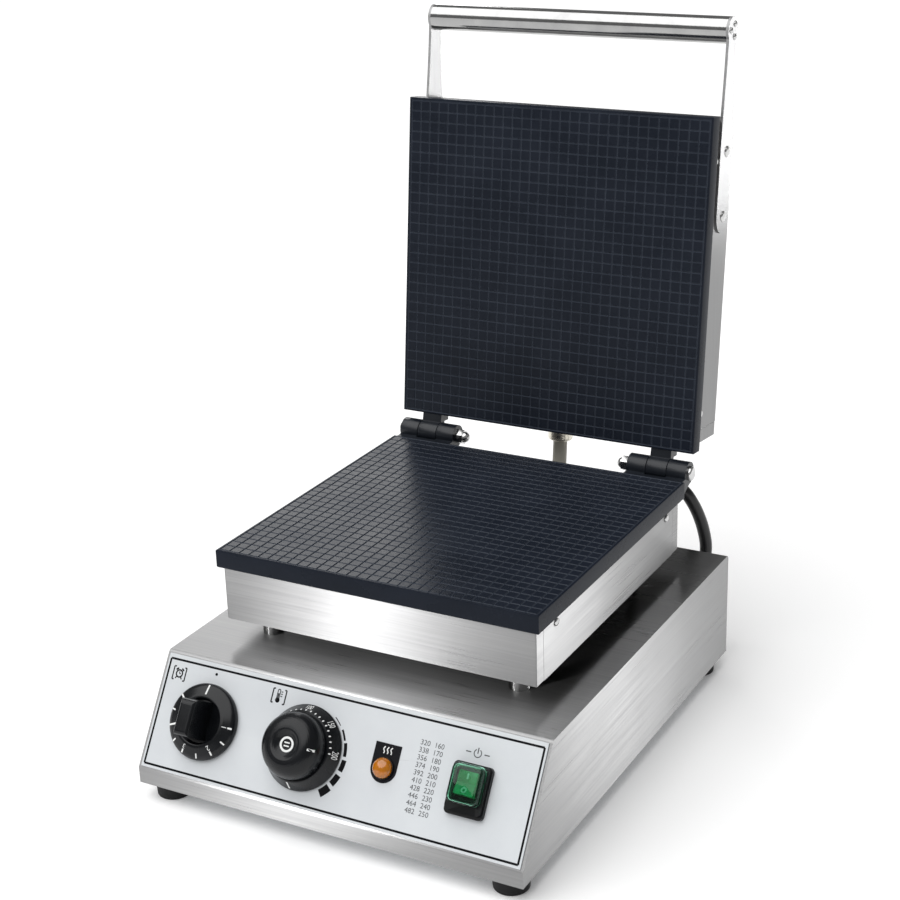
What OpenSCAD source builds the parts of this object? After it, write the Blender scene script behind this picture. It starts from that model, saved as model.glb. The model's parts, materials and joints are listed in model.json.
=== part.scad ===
// Counter-top waffle cone maker: two grooved cast plates on rear hinges over a sheet-steel base.
// Millimetres, +Z up, front towards -Y, origin on the table under the middle of the open machine.

/* [Base housing] */
// Width of the base
base_w = 286; // [240:1:340]
// Depth of the base, front lip to rear panel
base_d = 345; // [300:1:400]
// Height of the deck above the underside of the base
deck_z = 79; // [65:1:95]
// Height of the upright lip below the sloped panel
lip_h = 11.5; // [6:0.5:20]
// Horizontal run of the sloped panel
slope_run = 44; // [30:1:60]
// Thickness of the folded steel sheet
sheet_t = 1.2; // [0.8:0.1:2]
// Outside radius of the folds
fold_r = 3; // [1:0.5:5]
// Height of the rubber feet
foot_h = 12; // [10:1:30]
// Radius of the rubber feet
foot_r = 12.5; // [8:0.5:18]
// Distance of each foot's centre from the two nearest edges
foot_inset = 16; // [14:1:40]

/* [Baking plates] */
// Side of the square plates
plate_w = 240; // [200:1:280]
// Thickness of each plate
plate_t = 13; // [9:0.5:18]
// Distance of the plates' front edge behind the lip
plate_y = 73; // [60:1:90]
// Height of the lower plate's cooking face above the underside of the base
plate_z = 144.7; // [130:0.1:160]
// Gap between the closed plates
plate_gap = 1; // [0.4:0.1:2]

/* [Plate casings] */
// Height of the casing behind each plate
casing_h = 38.5; // [30:0.5:50]
// Inset of the casing from the plate's edges
casing_inset = 3.5; // [2:0.5:8]
// Length of the return flange that wraps each front and rear corner
wrap_w = 10; // [6:1:16]

/* [Lid hinge] */
// Angle between the closed and the open lid
open_angle = 96.6; // [90:0.1:110]
// Distance of the hinge axis behind the plates
hinge_back = 14.4; // [12:0.1:20]
// Height of the hinge axis above the lower plate's cooking face
hinge_up = 1.3; // [0:0.1:3]
// Radius of the hinge knuckles
knuckle_r = 8.5; // [6:0.5:11]
// Inner end of each hinge, from the middle plane
hinge_x0 = 72; // [60:1:80]
// Outer end of each hinge, from the middle plane
hinge_x1 = 118; // [110:1:122]
// Radius of the hinge pins
pin_r = 4; // [3:0.5:5]

/* [Handle] */
// Height of the bar above the open plate's lower edge
bar_u = 297.6; // [280:0.1:310]
// Depth of the bar behind the plate's cooking face
bar_n = 32; // [20:1:35]
// Radius of the bar
bar_r = 9.5; // [8:0.5:12]
// Depth of the arms' lower part behind the plate's cooking face
arm_n = 34; // [25:1:40]
// Width of each arm on the casing
arm_low_w = 24; // [16:1:28]
// Width of each arm near the bar
arm_top_w = 15; // [10:1:20]
// Thickness of each arm
arm_t = 2; // [2:0.5:4]

/* [Controls] */
// Timer knob's place across the panel
timer_x = -100.5; // [-110:0.5:-80]
// Thermostat dial's place across the panel
thermo_x = -23.2; // [-40:0.1:0]
// Pilot lamp's place across the panel
lamp_x = 36; // [25:0.1:50]
// Power switch's place across the panel
switch_x = 97.3; // [80:0.1:110]
// Height of the controls' centres up the slope
row_s = 39.4; // [30:0.1:50]
// Radius of the timer knob's skirt
timer_r = 25.4; // [20:0.1:28]
// Radius of the thermostat dial's skirt
dial_r = 27.8; // [22:0.1:32]
// Radius of the thermostat dial's cap
cap_r = 21.4; // [18:0.1:24]

/* [Hidden] */
$fn = 64;
eps = 0.01;
rot_fit = 0.06;
plate_back = plate_y + plate_w;
hinge_y = plate_back + hinge_back;
hinge_z = plate_z + hinge_up;
slope_rise = deck_z - lip_h;
slope_a = atan2(slope_rise, slope_run);
slope_l = norm([slope_run, slope_rise]);
half_w = base_w / 2;
casing_x = plate_w / 2 - casing_inset;
casing_y0 = casing_inset;
casing_y1 = plate_w - casing_inset;
casing_z = -plate_t - casing_h;
spacer_h = plate_z + casing_z - deck_z;
fascia_t = 0.8;
fascia_w = base_w - 4;
fascia_s0 = 1.5;
fascia_s1 = slope_l - 2;

// Studs that hold each casing to its plate
stud_x = 94;
stud_y0 = 24;
stud_y1 = plate_w - 24;
stud_r = 4;
boss_r = 9;
boss_h = 10;

// Heating element, its clamp sheet and the insulation, measured down from the cooking face
element_r = 3.25;
element_z = -plate_t - element_r;
element_x = 25;
element_y0 = 60;
element_y1 = 178;
clamp_z = -plate_t - 2 * element_r;
clamp_t = 1.5;
wool_z = clamp_z - clamp_t - 0.5;
wool_t = 14;

// Hinge knuckles: lower bracket outside and inside, lid bracket in the middle
knuckle_gap = 0.3;
pin_thread_r = 3;
mid_x0 = 87;
mid_x1 = 103;
pad_t = 4.5;
pad_y = plate_back + pad_t;
stop_gap = 0.05;

// Lid lead: glands and the route of the lead between them
lead_r = 4.75;
lead_sides = 10;
lid_gland_n = 32.5;
lid_sleeve_len = 37.3;
lid_sleeve_r = 5.4;
base_gland_x = 105;
base_gland_len = 22;
mains_x = -92;
gland_z = 34;
gland_thread_r = 7;
mains_bore_r = 4.5;
mains_gland_len = 24;

// Rear wall opening, inner flange, vents and foot bolts
flange_w = 30;
rear_rim = 17;
panel_back = base_d + sheet_t;
vent_count = 9;
foot_bolt_r = 2.5;
foot_recess = 5;
conduit_r = 9;

// Parts behind and on the control panel
bush_r = 4.9;
shaft_r = 3;
shaft_top = 16;
lamp_r = 5.5;
label_t = 0.3;
label_w = 18.6;
switch_w = 26.6;
switch_l = 32.8;
switch_top = fascia_t + 5.4;
switch_hole_w = 22.2;
switch_hole_l = 28.2;
rocker_s = 3.2;
rocker_z = 4.5;
rocker_pin_r = 1.2;
rocker_tilt = 9;
rocker_w = 13;
cover_w = 21.4;
cover_l = 25;
cover_h = 6.2;

// Knobs: foot, crowns and the timer grip
knob_foot = fascia_t + 0.8;
timer_skirt_top = knob_foot + 7.4;
timer_top = 28;
hub_r = 16.5;
grip_w = 6.4;
grip_y0 = -12;
grip_y1 = 13.4;
dial_top = knob_foot + 9.2;
dial_top_r = 22.8;
cap_top = 26.2;
cap_edge_r = 11;

// Screws of the hinge brackets and casing sides, tabs behind the sides
bracket_screw_r = 1.8;
lower_screw_x = [90.5, 99.5];
lower_screw_z = 6.5;
upper_screw_x = [91.5, 98.5];
upper_screw_z = 9.6;
lug_t = 6;
tab_w = 26;
side_screw_y = [32, 214];
side_screw_z = -18.5;

// Handle arms, measured up the open plate
arm_end_u = 156;
arm_bend_u0 = 218;
arm_bend_u1 = 284;
arm_screw_u = [168, 214];

// Thermostat bulb
bulb_x = 45;
bulb_r = 2.1;

// Half the depth of the open machine, from the thermostat's cap to the lid's rear nuts
front_y = row_s * cos(slope_a) - (cap_r - cap_edge_r) * cos(slope_a)
  - (cap_top - cap_edge_r) * sin(slope_a) - cap_edge_r;
rear_y = opened(plate_y + stud_y0, plate_z + plate_gap - casing_z + 5.5)[0] + 5.7;
mid_y = (front_y + rear_y) / 2;

// Middle points of the lead's route, from the underside of the base's front middle
lead_route = [
  [0, 356.5, 112], [2, 357, 100], [9, 358, 90], [20, 360, 84.5], [33, 362, 85], [45, 364, 91.5],
  [56, 366, 101], [66, 367.5, 110], [77, 369.5, 116.5], [88, 371.5, 116.5], [96.7, 374, 110.4],
  [101.7, 378.5, 100], [104.7, 383.5, 88.5], [106.7, 388, 76], [108, 391, 62],
  [107.7, 389.5, 50], [106.8, 384, 40.5], [105.7, 376, 35.2]
];
lead_start_yz = opened(plate_back - casing_inset + lid_sleeve_len + 0.1, lid_z(lid_gland_n));
lead_end = [base_gland_x, panel_back + base_gland_len, gland_z];
lead_points = concat([[0, lead_start_yz[0], lead_start_yz[1]]], lead_route, [lead_end]);

function arc(cx, cy, r, a0, a1, n = 6) =
  [for (i = [0 : n]) [cx + r * cos(a0 + (a1 - a0) * i / n), cy + r * sin(a0 + (a1 - a0) * i / n)]];

// A point of the closed lid, turned to the open pose about the hinge axis
function opened(y, z) = [
  hinge_y + (y - hinge_y) * cos(open_angle) + (z - hinge_z) * sin(open_angle),
  hinge_z - (y - hinge_y) * sin(open_angle) + (z - hinge_z) * cos(open_angle)
];

function unit(v) = v / norm(v);

module at_base() {
  translate([0, -mid_y, foot_h]) children();
}

module at_slope() {
  at_base() translate([0, 0, lip_h]) rotate([slope_a, 0, 0]) children();
}

module lower_half() {
  at_base() translate([0, plate_y, plate_z]) children();
}

module at_lid() {
  at_base() translate([0, hinge_y, hinge_z]) rotate([-open_angle, 0, 0])
    translate([0, -hinge_y, -hinge_z]) children();
}

module upper_half() {
  at_lid() translate([0, plate_y, plate_z + plate_gap]) mirror([0, 0, 1]) children();
}

module both_sides() {
  for (side = [0, 1]) mirror([side, 0, 0]) children();
}

module along_x(x0, x1) {
  translate([x0, 0, 0]) rotate([90, 0, 90]) linear_extrude(x1 - x0) children();
}

module rod_x(x0, x1, r) {
  translate([x0, 0, 0]) rotate([0, 90, 0]) cylinder(h = x1 - x0, r = r);
}

module block(x0, x1, y0, y1, z0, z1) {
  translate([x0, y0, z0]) cube([x1 - x0, y1 - y0, z1 - z0]);
}

// Metal and plastic colours
module steel() color([0.72, 0.73, 0.74]) children();
module bright_steel() color([0.86, 0.87, 0.88]) children();
module cast_black() color([0.12, 0.13, 0.15]) children();
module black_plastic() color([0.06, 0.06, 0.07]) children();
module rubber() color([0.04, 0.04, 0.04]) children();
module brass() color([0.78, 0.62, 0.30]) children();

// ---------------------------------------------------------------- base housing

// Side outline of the folded shell, drawn inside its outer face by the distance t
module shell_outline(t) {
  q0 = t * (1 - sin(slope_a)) / cos(slope_a);
  q1 = (slope_rise + t * cos(slope_a) - t) / sin(slope_a);
  lip = [t, lip_h - t * cos(slope_a) + q0 * sin(slope_a)];
  brow = [t * sin(slope_a) + q1 * cos(slope_a), deck_z - t];
  r = fold_r - t;
  bend = r * tan((90 - slope_a) / 2);
  brow_bend = r * tan(slope_a / 2);
  polygon(concat(
    [[t, t == 0 ? 0 : -1]],
    [[t, lip[1] - bend]],
    arc(t + r, lip[1] - bend, r, 180, 90 + slope_a),
    arc(brow[0] + brow_bend, deck_z - t - r, r, 90 + slope_a, 90),
    arc(base_d - fold_r, deck_z - fold_r, r, 90, 0),
    [[base_d - t, t == 0 ? 0 : -1]]
  ));
}

module deck_holes() {
  for (x = [-stud_x, stud_x], y = [stud_y0, stud_y1])
    translate([x, plate_y + y, deck_z - 5]) cylinder(h = 10, r = stud_r + 0.3);
  translate([0, plate_y + plate_w / 2, deck_z - 5]) cylinder(h = 10, r = conduit_r + 0.2);
}

module foot_places() {
  for (x = [-half_w + foot_inset, half_w - foot_inset], y = [foot_inset, base_d - foot_inset])
    translate([x, y, 0]) children();
}

module base_housing() {
  steel() difference() {
    union() {
      difference() {
        at_base() along_x(-half_w, half_w) shell_outline(0);
        at_base() along_x(-half_w + sheet_t, half_w - sheet_t) shell_outline(sheet_t);
      }
      at_base() both_sides() block(half_w - flange_w, half_w - sheet_t / 2, 6, base_d - 3,
        sheet_t, 2 * sheet_t);
    }
    at_base() block(-half_w + rear_rim, half_w - rear_rim, base_d - 5, base_d + 5, rear_rim,
      deck_z - rear_rim - 3);
    at_base() deck_holes();
    at_base() foot_places() translate([0, 0, -1]) cylinder(h = 6, r = foot_bolt_r + 0.2);
    at_slope() panel_holes();
    at_base() rear_screw_places() rotate([90, 0, 0]) translate([0, 0, -3]) cylinder(h = 10, r = 1.8);
  }
}

module bottom_plate() {
  steel() difference() {
    at_base() block(-half_w + sheet_t + 0.2, half_w - sheet_t - 0.2, sheet_t + 0.3,
      base_d - 2 * sheet_t - 0.2, 0, sheet_t - 0.05);
    at_base() foot_places() translate([0, 0, -1]) cylinder(h = 6, r = foot_bolt_r + 0.2);
    at_base() for (row = [0 : 1], i = [0 : vent_count - 1])
      translate([(i - (vent_count - 1) / 2) * 16, 110 + row * 120, -1]) vent_slot(40);
  }
}

module vent_slot(len) {
  for (y = [-len / 2, len / 2]) translate([0, y, 0]) cylinder(h = 4, r = 2);
  translate([-2, -len / 2, 0]) cube([4, len, 4]);
}

module rear_screw_places() {
  for (x = [-half_w + 10, half_w - 10], z = [11, deck_z - 13])
    translate([x, panel_back, z]) children();
}

module rear_panel() {
  steel() at_base() difference() {
    block(-half_w + 5, half_w - 5, base_d, panel_back, 5, deck_z - 7);
    rear_screw_places() rotate([90, 0, 0]) translate([0, 0, -3]) cylinder(h = 6, r = 1.8);
    for (x = [base_gland_x, mains_x]) translate([x, base_d - 4, gland_z]) rotate([-90, 0, 0])
      cylinder(h = 8, r = gland_thread_r);
    for (i = [0 : 6]) translate([(i - 3) * 12, base_d - 1, 38]) rotate([-90, 0, 0]) vent_slot(24);
  }
}

module pan_screw(len) {
  difference() {
    rotate_extrude() polygon(concat([[0, -len], [1.6, -len], [1.6, 0], [3.4, 0], [3.4, 0.7]],
      [for (a = [15 : 15 : 90]) [3.4 * cos(a), 0.7 + 1.5 * sin(a)]]));
    for (a = [0, 90]) rotate([0, 0, a]) translate([-2, -0.35, 1.3]) cube([4, 0.7, 2]);
  }
}

module rear_panel_screws() {
  bright_steel() at_base() rear_screw_places() rotate([-90, 0, 0]) pan_screw(6);
}

module feet() {
  rubber() at_base() foot_places() difference() {
    translate([0, 0, -foot_h]) rotate_extrude() polygon(concat(
      [[0, 0], [foot_r - 2.5, 0]],
      arc(foot_r - 2.3, 1.5, 1.5, -90, 0),
      [[foot_r, foot_h], [0, foot_h]]));
    translate([0, 0, -foot_h - eps]) cylinder(h = foot_recess, r = 5.2);
    translate([0, 0, -foot_h]) cylinder(h = foot_h + 1, r = foot_bolt_r);
  }
}

module foot_bolts() {
  bright_steel() at_base() foot_places() {
    translate([0, 0, -foot_h + foot_recess - 3.2]) cylinder(h = 3.2, r = 4.6);
    translate([0, 0, -foot_h + foot_recess - eps]) cylinder(h = foot_h - foot_recess + 5, r = foot_bolt_r);
    translate([0, 0, 2 * sheet_t]) cylinder(h = 4, r = 4.6, $fn = 6);
  }
}

// ---------------------------------------------------------------- control panel

module panel_holes() {
  for (x = [timer_x, thermo_x]) translate([x, row_s, -6]) cylinder(h = 10, r = bush_r + 0.1);
  translate([lamp_x, row_s, -6]) cylinder(h = 10, r = lamp_r + 0.1);
  translate([switch_x - switch_hole_w / 2, row_s - switch_hole_l / 2, -6])
    cube([switch_hole_w, switch_hole_l, 10]);
}

module control_fascia() {
  color([0.90, 0.92, 0.93]) at_slope() difference() {
    translate([-fascia_w / 2, fascia_s0, 0]) cube([fascia_w, fascia_s1 - fascia_s0, fascia_t]);
    panel_holes();
  }
}

module lamp_label() {
  black_plastic() at_slope() translate([lamp_x, row_s, fascia_t]) difference() {
    union() {
      cylinder(h = label_t, r = label_w / 2);
      translate([-label_w / 2, 0, 0]) cube([label_w, 15.6, label_t]);
    }
    translate([0, 0, -1]) cylinder(h = 3, r = lamp_r + 0.1);
  }
}

module lamp_body() {
  black_plastic() at_slope() translate([lamp_x, row_s, 0]) {
    translate([0, 0, -26]) cylinder(h = 26 + fascia_t + label_t, r = lamp_r);
    difference() {
      translate([0, 0, fascia_t + label_t]) cylinder(h = 1.4, r = 7.2);
      translate([0, 0, fascia_t + label_t + 0.6]) cylinder(h = 2, r = 6.6);
    }
    for (x = [-2.5, 2.5]) translate([x - 0.4, -1.5, -34]) cube([0.8, 3, 8.5]);
  }
}

module lamp_lens() {
  color([0.95, 0.45, 0.05]) at_slope() translate([lamp_x, row_s, fascia_t + label_t + 0.6])
    rotate_extrude() polygon(concat([[0, 0], [6.5, 0], [6.5, 1.4]],
      [for (a = [10 : 10 : 90]) [6.5 * cos(a), 1.4 + 4.4 * sin(a)]]));
}

// Rectangle with round corners, centred
module rounded_plan(w, l, r) {
  square([w - 2 * r, l], center = true);
  square([w, l - 2 * r], center = true);
  for (x = [-w / 2 + r, w / 2 - r], y = [-l / 2 + r, l / 2 - r]) translate([x, y]) circle(r = r);
}

module switch_body() {
  black_plastic() at_slope() translate([switch_x, row_s, 0]) difference() {
    union() {
      translate([0, 0, fascia_t]) linear_extrude(3.2) rounded_plan(switch_w, switch_l, 3);
      translate([0, 0.9, fascia_t + 3]) linear_extrude(2.4) rounded_plan(switch_w - 1.6, switch_l - 2.6, 3);
      translate([-10.9, -13.9, -27]) cube([21.8, 27.8, 27 + fascia_t + 1]);
      for (y = [-8, 0, 8]) translate([-3.2, y - 0.4, -35]) cube([6.4, 0.8, 8.5]);
    }
    translate([-7.1, rocker_s - 8.8, -4]) cube([14.2, 17.6, 20]);
    translate([0, rocker_s, rocker_z]) rod_x(-8.2, 8.2, rocker_pin_r + rot_fit);
  }
}

module switch_rocker() {
  color([0.10, 0.62, 0.32]) at_slope() translate([switch_x, row_s + rocker_s, rocker_z])
    rotate([-rocker_tilt, 0, 0]) {
      along_x(-rocker_w / 2, rocker_w / 2)
        polygon([[-7.4, -3], [0, -6.5], [7.4, -3], [7.4, 5.4], [0, 4.3], [-7.4, 5.4]]);
      rod_x(-8, 8, rocker_pin_r);
    }
}

module switch_cover() {
  color([0.75, 0.95, 0.85, 0.35]) at_slope() translate([switch_x, row_s + rocker_s, switch_top])
    difference() {
      linear_extrude(cover_h) rounded_plan(cover_w, cover_l, 4);
      translate([0, 0, -1]) linear_extrude(cover_h + 0.1) rounded_plan(cover_w - 1.8, cover_l - 1.8, 3.1);
    }
}

module timer_body() {
  color([0.80, 0.78, 0.70]) at_slope() translate([timer_x, row_s, 0]) difference() {
    union() {
      translate([-22, -22, -sheet_t - 27]) cube([44, 44, 27]);
      translate([0, 0, -sheet_t - 1]) cylinder(h = sheet_t + 1 + 2.6, r = bush_r);
    }
    translate([0, 0, -16]) cylinder(h = 30, r = shaft_r + rot_fit);
  }
}

module thermostat_body() {
  color([0.70, 0.72, 0.74]) at_slope() translate([thermo_x, row_s, 0]) difference() {
    union() {
      translate([-19, -17, -sheet_t - 30]) cube([38, 34, 30]);
      translate([0, 0, -sheet_t - 1]) cylinder(h = sheet_t + 1 + 2.6, r = bush_r);
    }
    translate([0, 0, -16]) cylinder(h = 30, r = shaft_r + rot_fit);
  }
}

module control_nuts() {
  bright_steel() at_slope() for (x = [timer_x, thermo_x]) translate([x, row_s, fascia_t])
    difference() {
      cylinder(h = 1.6, r = 7.5, $fn = 6);
      translate([0, 0, -1]) cylinder(h = 5, r = bush_r);
    }
}

module control_shaft(x, top) {
  bright_steel() at_slope() translate([x, row_s, -15.5]) cylinder(h = 15.5 + top, r = shaft_r);
}

module timer_knob() {
  black_plastic() at_slope() translate([timer_x, row_s, 0]) difference() {
    union() {
      rotate_extrude() polygon([[0, knob_foot], [timer_r, knob_foot], [timer_r, knob_foot + 2.6],
        [timer_r - 1, knob_foot + 4.3], [hub_r, timer_skirt_top], [hub_r - 1, timer_skirt_top - 0.2],
        [hub_r - 2.5, timer_skirt_top - 3], [0, timer_skirt_top - 3]]);
      knob_grip();
    }
    translate([0, 0, -1]) cylinder(h = 1 + knob_foot + 2, r = 8.6);
    cylinder(h = shaft_top, r = shaft_r);
  }
}

// Upright grip with rounded crown edges, a little narrower towards its crown
module knob_grip() {
  foot = knob_foot + 2.5;
  intersection() {
    along_x(-grip_w, grip_w) polygon(concat([[grip_y0, foot], [grip_y1, foot]],
      arc(grip_y1 - 4.6, timer_top - 4, 4, 8, 90), arc(grip_y0 + 3.6, timer_top - 3, 3, 90, 172)));
    rotate([90, 0, 0]) translate([0, 0, -20]) linear_extrude(40)
      polygon(concat([[-grip_w, foot], [grip_w, foot]],
        arc(grip_w - 2.9, timer_top - 2, 2, 4, 90), arc(-grip_w + 2.9, timer_top - 2, 2, 90, 176)));
  }
}

module timer_shaft() {
  control_shaft(timer_x, shaft_top);
}

module thermostat_shaft() {
  control_shaft(thermo_x, shaft_top);
}

// Conical skirt that carries the scale
module thermostat_dial() {
  black_plastic() at_slope() translate([thermo_x, row_s, 0]) difference() {
    rotate_extrude() polygon([[0, knob_foot], [dial_r, knob_foot], [dial_r, knob_foot + 1],
      [dial_r - 0.6, knob_foot + 1.8], [dial_top_r + 0.3, dial_top - 0.5], [dial_top_r - 0.3, dial_top],
      [0, dial_top]]);
    translate([0, 0, -1]) cylinder(h = 1 + knob_foot + 2, r = 8.6);
    cylinder(h = 20, r = shaft_r);
  }
}

// Domed cap with a dished centre, on top of the thermostat dial
module thermostat_cap() {
  black_plastic() at_slope() translate([thermo_x, row_s, 0]) difference() {
    rotate_extrude() polygon(concat([[0, dial_top], [cap_r - 1.2, dial_top], [cap_r, dial_top + 1.4]],
      arc(cap_r - cap_edge_r, cap_top - cap_edge_r, cap_edge_r, 0, 90, 12),
      [[9.3, cap_top - 0.25], [8.2, cap_top - 0.85], [7, cap_top - 1.7], [5.8, cap_top - 2.4],
      [4.4, cap_top - 2.8], [0, cap_top - 2.9]]));
    cylinder(h = shaft_top, r = shaft_r);
  }
}

// ---------------------------------------------------------------- plates and casings

module boss_places() {
  for (x = [-stud_x, stud_x], y = [stud_y0, stud_y1]) translate([x, y, 0]) children();
}

module baking_plate(hole_x, hole_z, depth) {
  cast_black() difference() {
    union() {
      translate([-plate_w / 2, 0, -plate_t]) cube([plate_w, plate_w, plate_t]);
      boss_places() translate([0, 0, -plate_t - boss_h]) cylinder(h = boss_h + 1, r = boss_r);
    }
    boss_places() translate([0, 0, -plate_t - boss_h - 1]) cylinder(h = 12, r = stud_r);
    both_sides() for (x = hole_x) translate([x, plate_w - depth, -hole_z]) rotate([-90, 0, 0])
      cylinder(h = depth + 5, r = bracket_screw_r);
  }
}

module lower_plate() {
  lower_half() baking_plate(lower_screw_x, lower_screw_z, 10);
}

module upper_plate() {
  upper_half() baking_plate(upper_screw_x, upper_screw_z, 10);
}

// One serpentine heating element with four runs and threaded ends
module heating_element() {
  bright_steel() {
    for (i = [-1, 1], j = [-1, 1]) translate([i * 2 * element_x + j * element_x, 0, element_z])
      translate([0, element_y0, 0]) rotate([-90, 0, 0]) cylinder(h = element_y1 - element_y0, r = element_r);
    for (i = [-1, 1]) translate([i * 2 * element_x, element_y0, element_z]) rotate([0, 0, 180])
      rotate_extrude(angle = 180) translate([element_x, 0]) circle(r = element_r);
    translate([0, element_y1, element_z]) rotate_extrude(angle = 180)
      translate([element_x, 0]) circle(r = element_r);
    for (x = [-3 * element_x, 3 * element_x]) translate([x, element_y1 - eps, element_z])
      rotate([-90, 0, 0]) cylinder(h = 20, r = 2.4);
  }
}

module lower_heater() {
  lower_half() heating_element();
}

module upper_heater() {
  upper_half() heating_element();
}

module element_clamp() {
  color([0.80, 0.80, 0.82]) difference() {
    translate([-84, 32, clamp_z - clamp_t]) cube([168, 172, clamp_t]);
    translate([0, plate_w / 2, clamp_z - 4]) cylinder(h = 6, r = conduit_r);
  }
}

module lower_heater_clamp() {
  lower_half() element_clamp();
}

module upper_heater_clamp() {
  upper_half() element_clamp();
}

module wool_pad() {
  color([0.88, 0.85, 0.72]) difference() {
    translate([-110, 11, wool_z - wool_t]) cube([220, 216.5, wool_t]);
    boss_places() translate([0, 0, wool_z - 20]) cylinder(h = 30, r = boss_r + 1);
    translate([0, plate_w / 2, wool_z - 20]) cylinder(h = 30, r = conduit_r);
  }
}

module lower_insulation() {
  lower_half() difference() {
    wool_pad();
    translate([bulb_x - 2.5, 66, wool_z - 4.6]) cube([5, 78, 10]);
  }
}

module upper_insulation() {
  upper_half() wool_pad();
}

// Tray with a floor, a front wall and a rear wall that wrap the corners
module casing_tray() {
  top = -plate_t;
  steel() {
    difference() {
      translate([-casing_x, casing_y0, casing_z]) cube([2 * casing_x, casing_y1 - casing_y0, casing_h]);
      translate([-casing_x + sheet_t, casing_y0 + sheet_t, casing_z + sheet_t])
        cube([2 * (casing_x - sheet_t), casing_y1 - casing_y0 - 2 * sheet_t, casing_h]);
      both_sides() translate([casing_x - sheet_t - 1, casing_y0 + wrap_w, casing_z - 1])
        cube([10, casing_y1 - casing_y0 - 2 * wrap_w, casing_h + 2]);
      boss_places() translate([0, 0, casing_z - 1]) cylinder(h = 4, r = stud_r + 0.3);
    }
    both_sides() for (y = [casing_y0 + wrap_w - 1, casing_y1 - wrap_w + 1 - tab_w])
      translate([casing_x - 2 * sheet_t, y, casing_z + 4]) cube([sheet_t, tab_w, casing_h - 6]);
  }
}

module side_screw_places() {
  both_sides() for (y = side_screw_y) translate([casing_x, y, side_screw_z]) rotate([0, 90, 0])
    children();
}

module lower_casing() {
  lower_half() difference() {
    casing_tray();
    side_screw_places() translate([0, 0, -8]) cylinder(h = 12, r = 1.6);
    translate([0, plate_w / 2, casing_z - 1]) cylinder(h = 4, r = conduit_r);
  }
}

module upper_casing() {
  upper_half() difference() {
    casing_tray();
    side_screw_places() translate([0, 0, -8]) cylinder(h = 12, r = 1.6);
    arm_screw_places() translate([0, 0, -8]) cylinder(h = 12, r = 2);
    translate([0, casing_y1 - 4, -lid_gland_n]) rotate([-90, 0, 0])
      cylinder(h = 8, r = gland_thread_r);
  }
}

module side_panels(with_arm_holes) {
  steel() difference() {
    both_sides() translate([casing_x - sheet_t, casing_y0 + wrap_w + 0.15, casing_z])
      cube([sheet_t, casing_y1 - casing_y0 - 2 * wrap_w - 0.3, casing_h]);
    side_screw_places() translate([0, 0, -8]) cylinder(h = 12, r = 1.6);
    if (with_arm_holes) arm_screw_places() translate([0, 0, -8]) cylinder(h = 12, r = 2);
  }
}

module lower_side_panels() {
  lower_half() side_panels(false);
}

module upper_side_panels() {
  upper_half() side_panels(true);
}

module small_screw(len, r, head_r) {
  rotate_extrude() polygon(concat([[0, -len], [r, -len], [r, 0], [head_r, 0], [head_r, 0.4]],
    [for (a = [15 : 15 : 90]) [head_r * cos(a), 0.4 + 1.2 * sin(a)]]));
}

module lower_casing_screws() {
  bright_steel() lower_half() side_screw_places() small_screw(5, 1.6, 2.8);
}

module upper_casing_screws() {
  bright_steel() upper_half() side_screw_places() small_screw(5, 1.6, 2.8);
}

module lower_studs() {
  bright_steel() lower_half() boss_places()
    translate([0, 0, -plate_t - boss_h + 1 - 56]) cylinder(h = 65, r = stud_r);
}

module casing_spacers() {
  bright_steel() lower_half() boss_places() translate([0, 0, casing_z - spacer_h]) difference() {
    cylinder(h = spacer_h, r = 7);
    translate([0, 0, -1]) cylinder(h = spacer_h + 2, r = stud_r);
  }
}

module hex_nut(height, flats, bore) {
  difference() {
    cylinder(h = height, r = flats / 2 / cos(30), $fn = 6);
    translate([0, 0, -1]) cylinder(h = height + 2, r = bore);
  }
}

module stud_nuts() {
  bright_steel() lower_half() boss_places() {
    translate([0, 0, casing_z - spacer_h - sheet_t - 6.5]) hex_nut(6.5, 13, stud_r);
    translate([0, 0, casing_z + sheet_t]) hex_nut(5, 13, stud_r);
  }
}

module upper_studs() {
  bright_steel() upper_half() boss_places()
    translate([0, 0, casing_z - 5]) cylinder(h = casing_h + 5, r = stud_r);
}

module acorn_nut(flats, body_h, bore, depth) {
  difference() {
    union() {
      cylinder(h = body_h, r = flats / 2 / cos(30), $fn = 6);
      translate([0, 0, body_h]) rotate_extrude()
        polygon(concat([[0, 0]], arc(0, 0, flats / 2 - 0.8, 0, 90, 8)));
    }
    translate([0, 0, -1]) cylinder(h = depth + 1, r = bore);
  }
}

module upper_stud_nuts() {
  bright_steel() upper_half() boss_places() translate([0, 0, casing_z]) rotate([180, 0, 0])
    acorn_nut(13, 5.5, stud_r, 5);
}

module wire_conduit() {
  bright_steel() lower_half() translate([0, plate_w / 2, casing_z - spacer_h - 6]) difference() {
    cylinder(h = spacer_h + 6 + 8, r = conduit_r);
    translate([0, 0, -1]) cylinder(h = spacer_h + 20, r = conduit_r - 1.5);
  }
}

// ---------------------------------------------------------------- hinges

module hinge_bore(r) {
  translate([0, hinge_y, hinge_z]) rod_x(hinge_x0 - 20, hinge_x1 + 20, r);
}

module fixed_knuckle(x0, x1) {
  translate([0, hinge_y, hinge_z]) rod_x(x0, x1, knuckle_r);
  along_x(x0, x1) polygon([[pad_y - 1, plate_z - 12], [hinge_y, hinge_z - knuckle_r],
    [hinge_y, hinge_z], [pad_y + 3, hinge_z - 1.5], [pad_y - 1, plate_z - 0.6]]);
}

module lower_brackets() {
  cast_black() at_base() both_sides() difference() {
    union() {
      block(hinge_x0, hinge_x1, plate_back, pad_y, plate_z - 12.6, plate_z - 0.6);
      fixed_knuckle(hinge_x0, mid_x0 - knuckle_gap);
      fixed_knuckle(mid_x1 + knuckle_gap, hinge_x1);
    }
    hinge_bore(pin_r);
    lower_screw_places() flush_screw(9.5, bracket_screw_r);
  }
}

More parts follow.
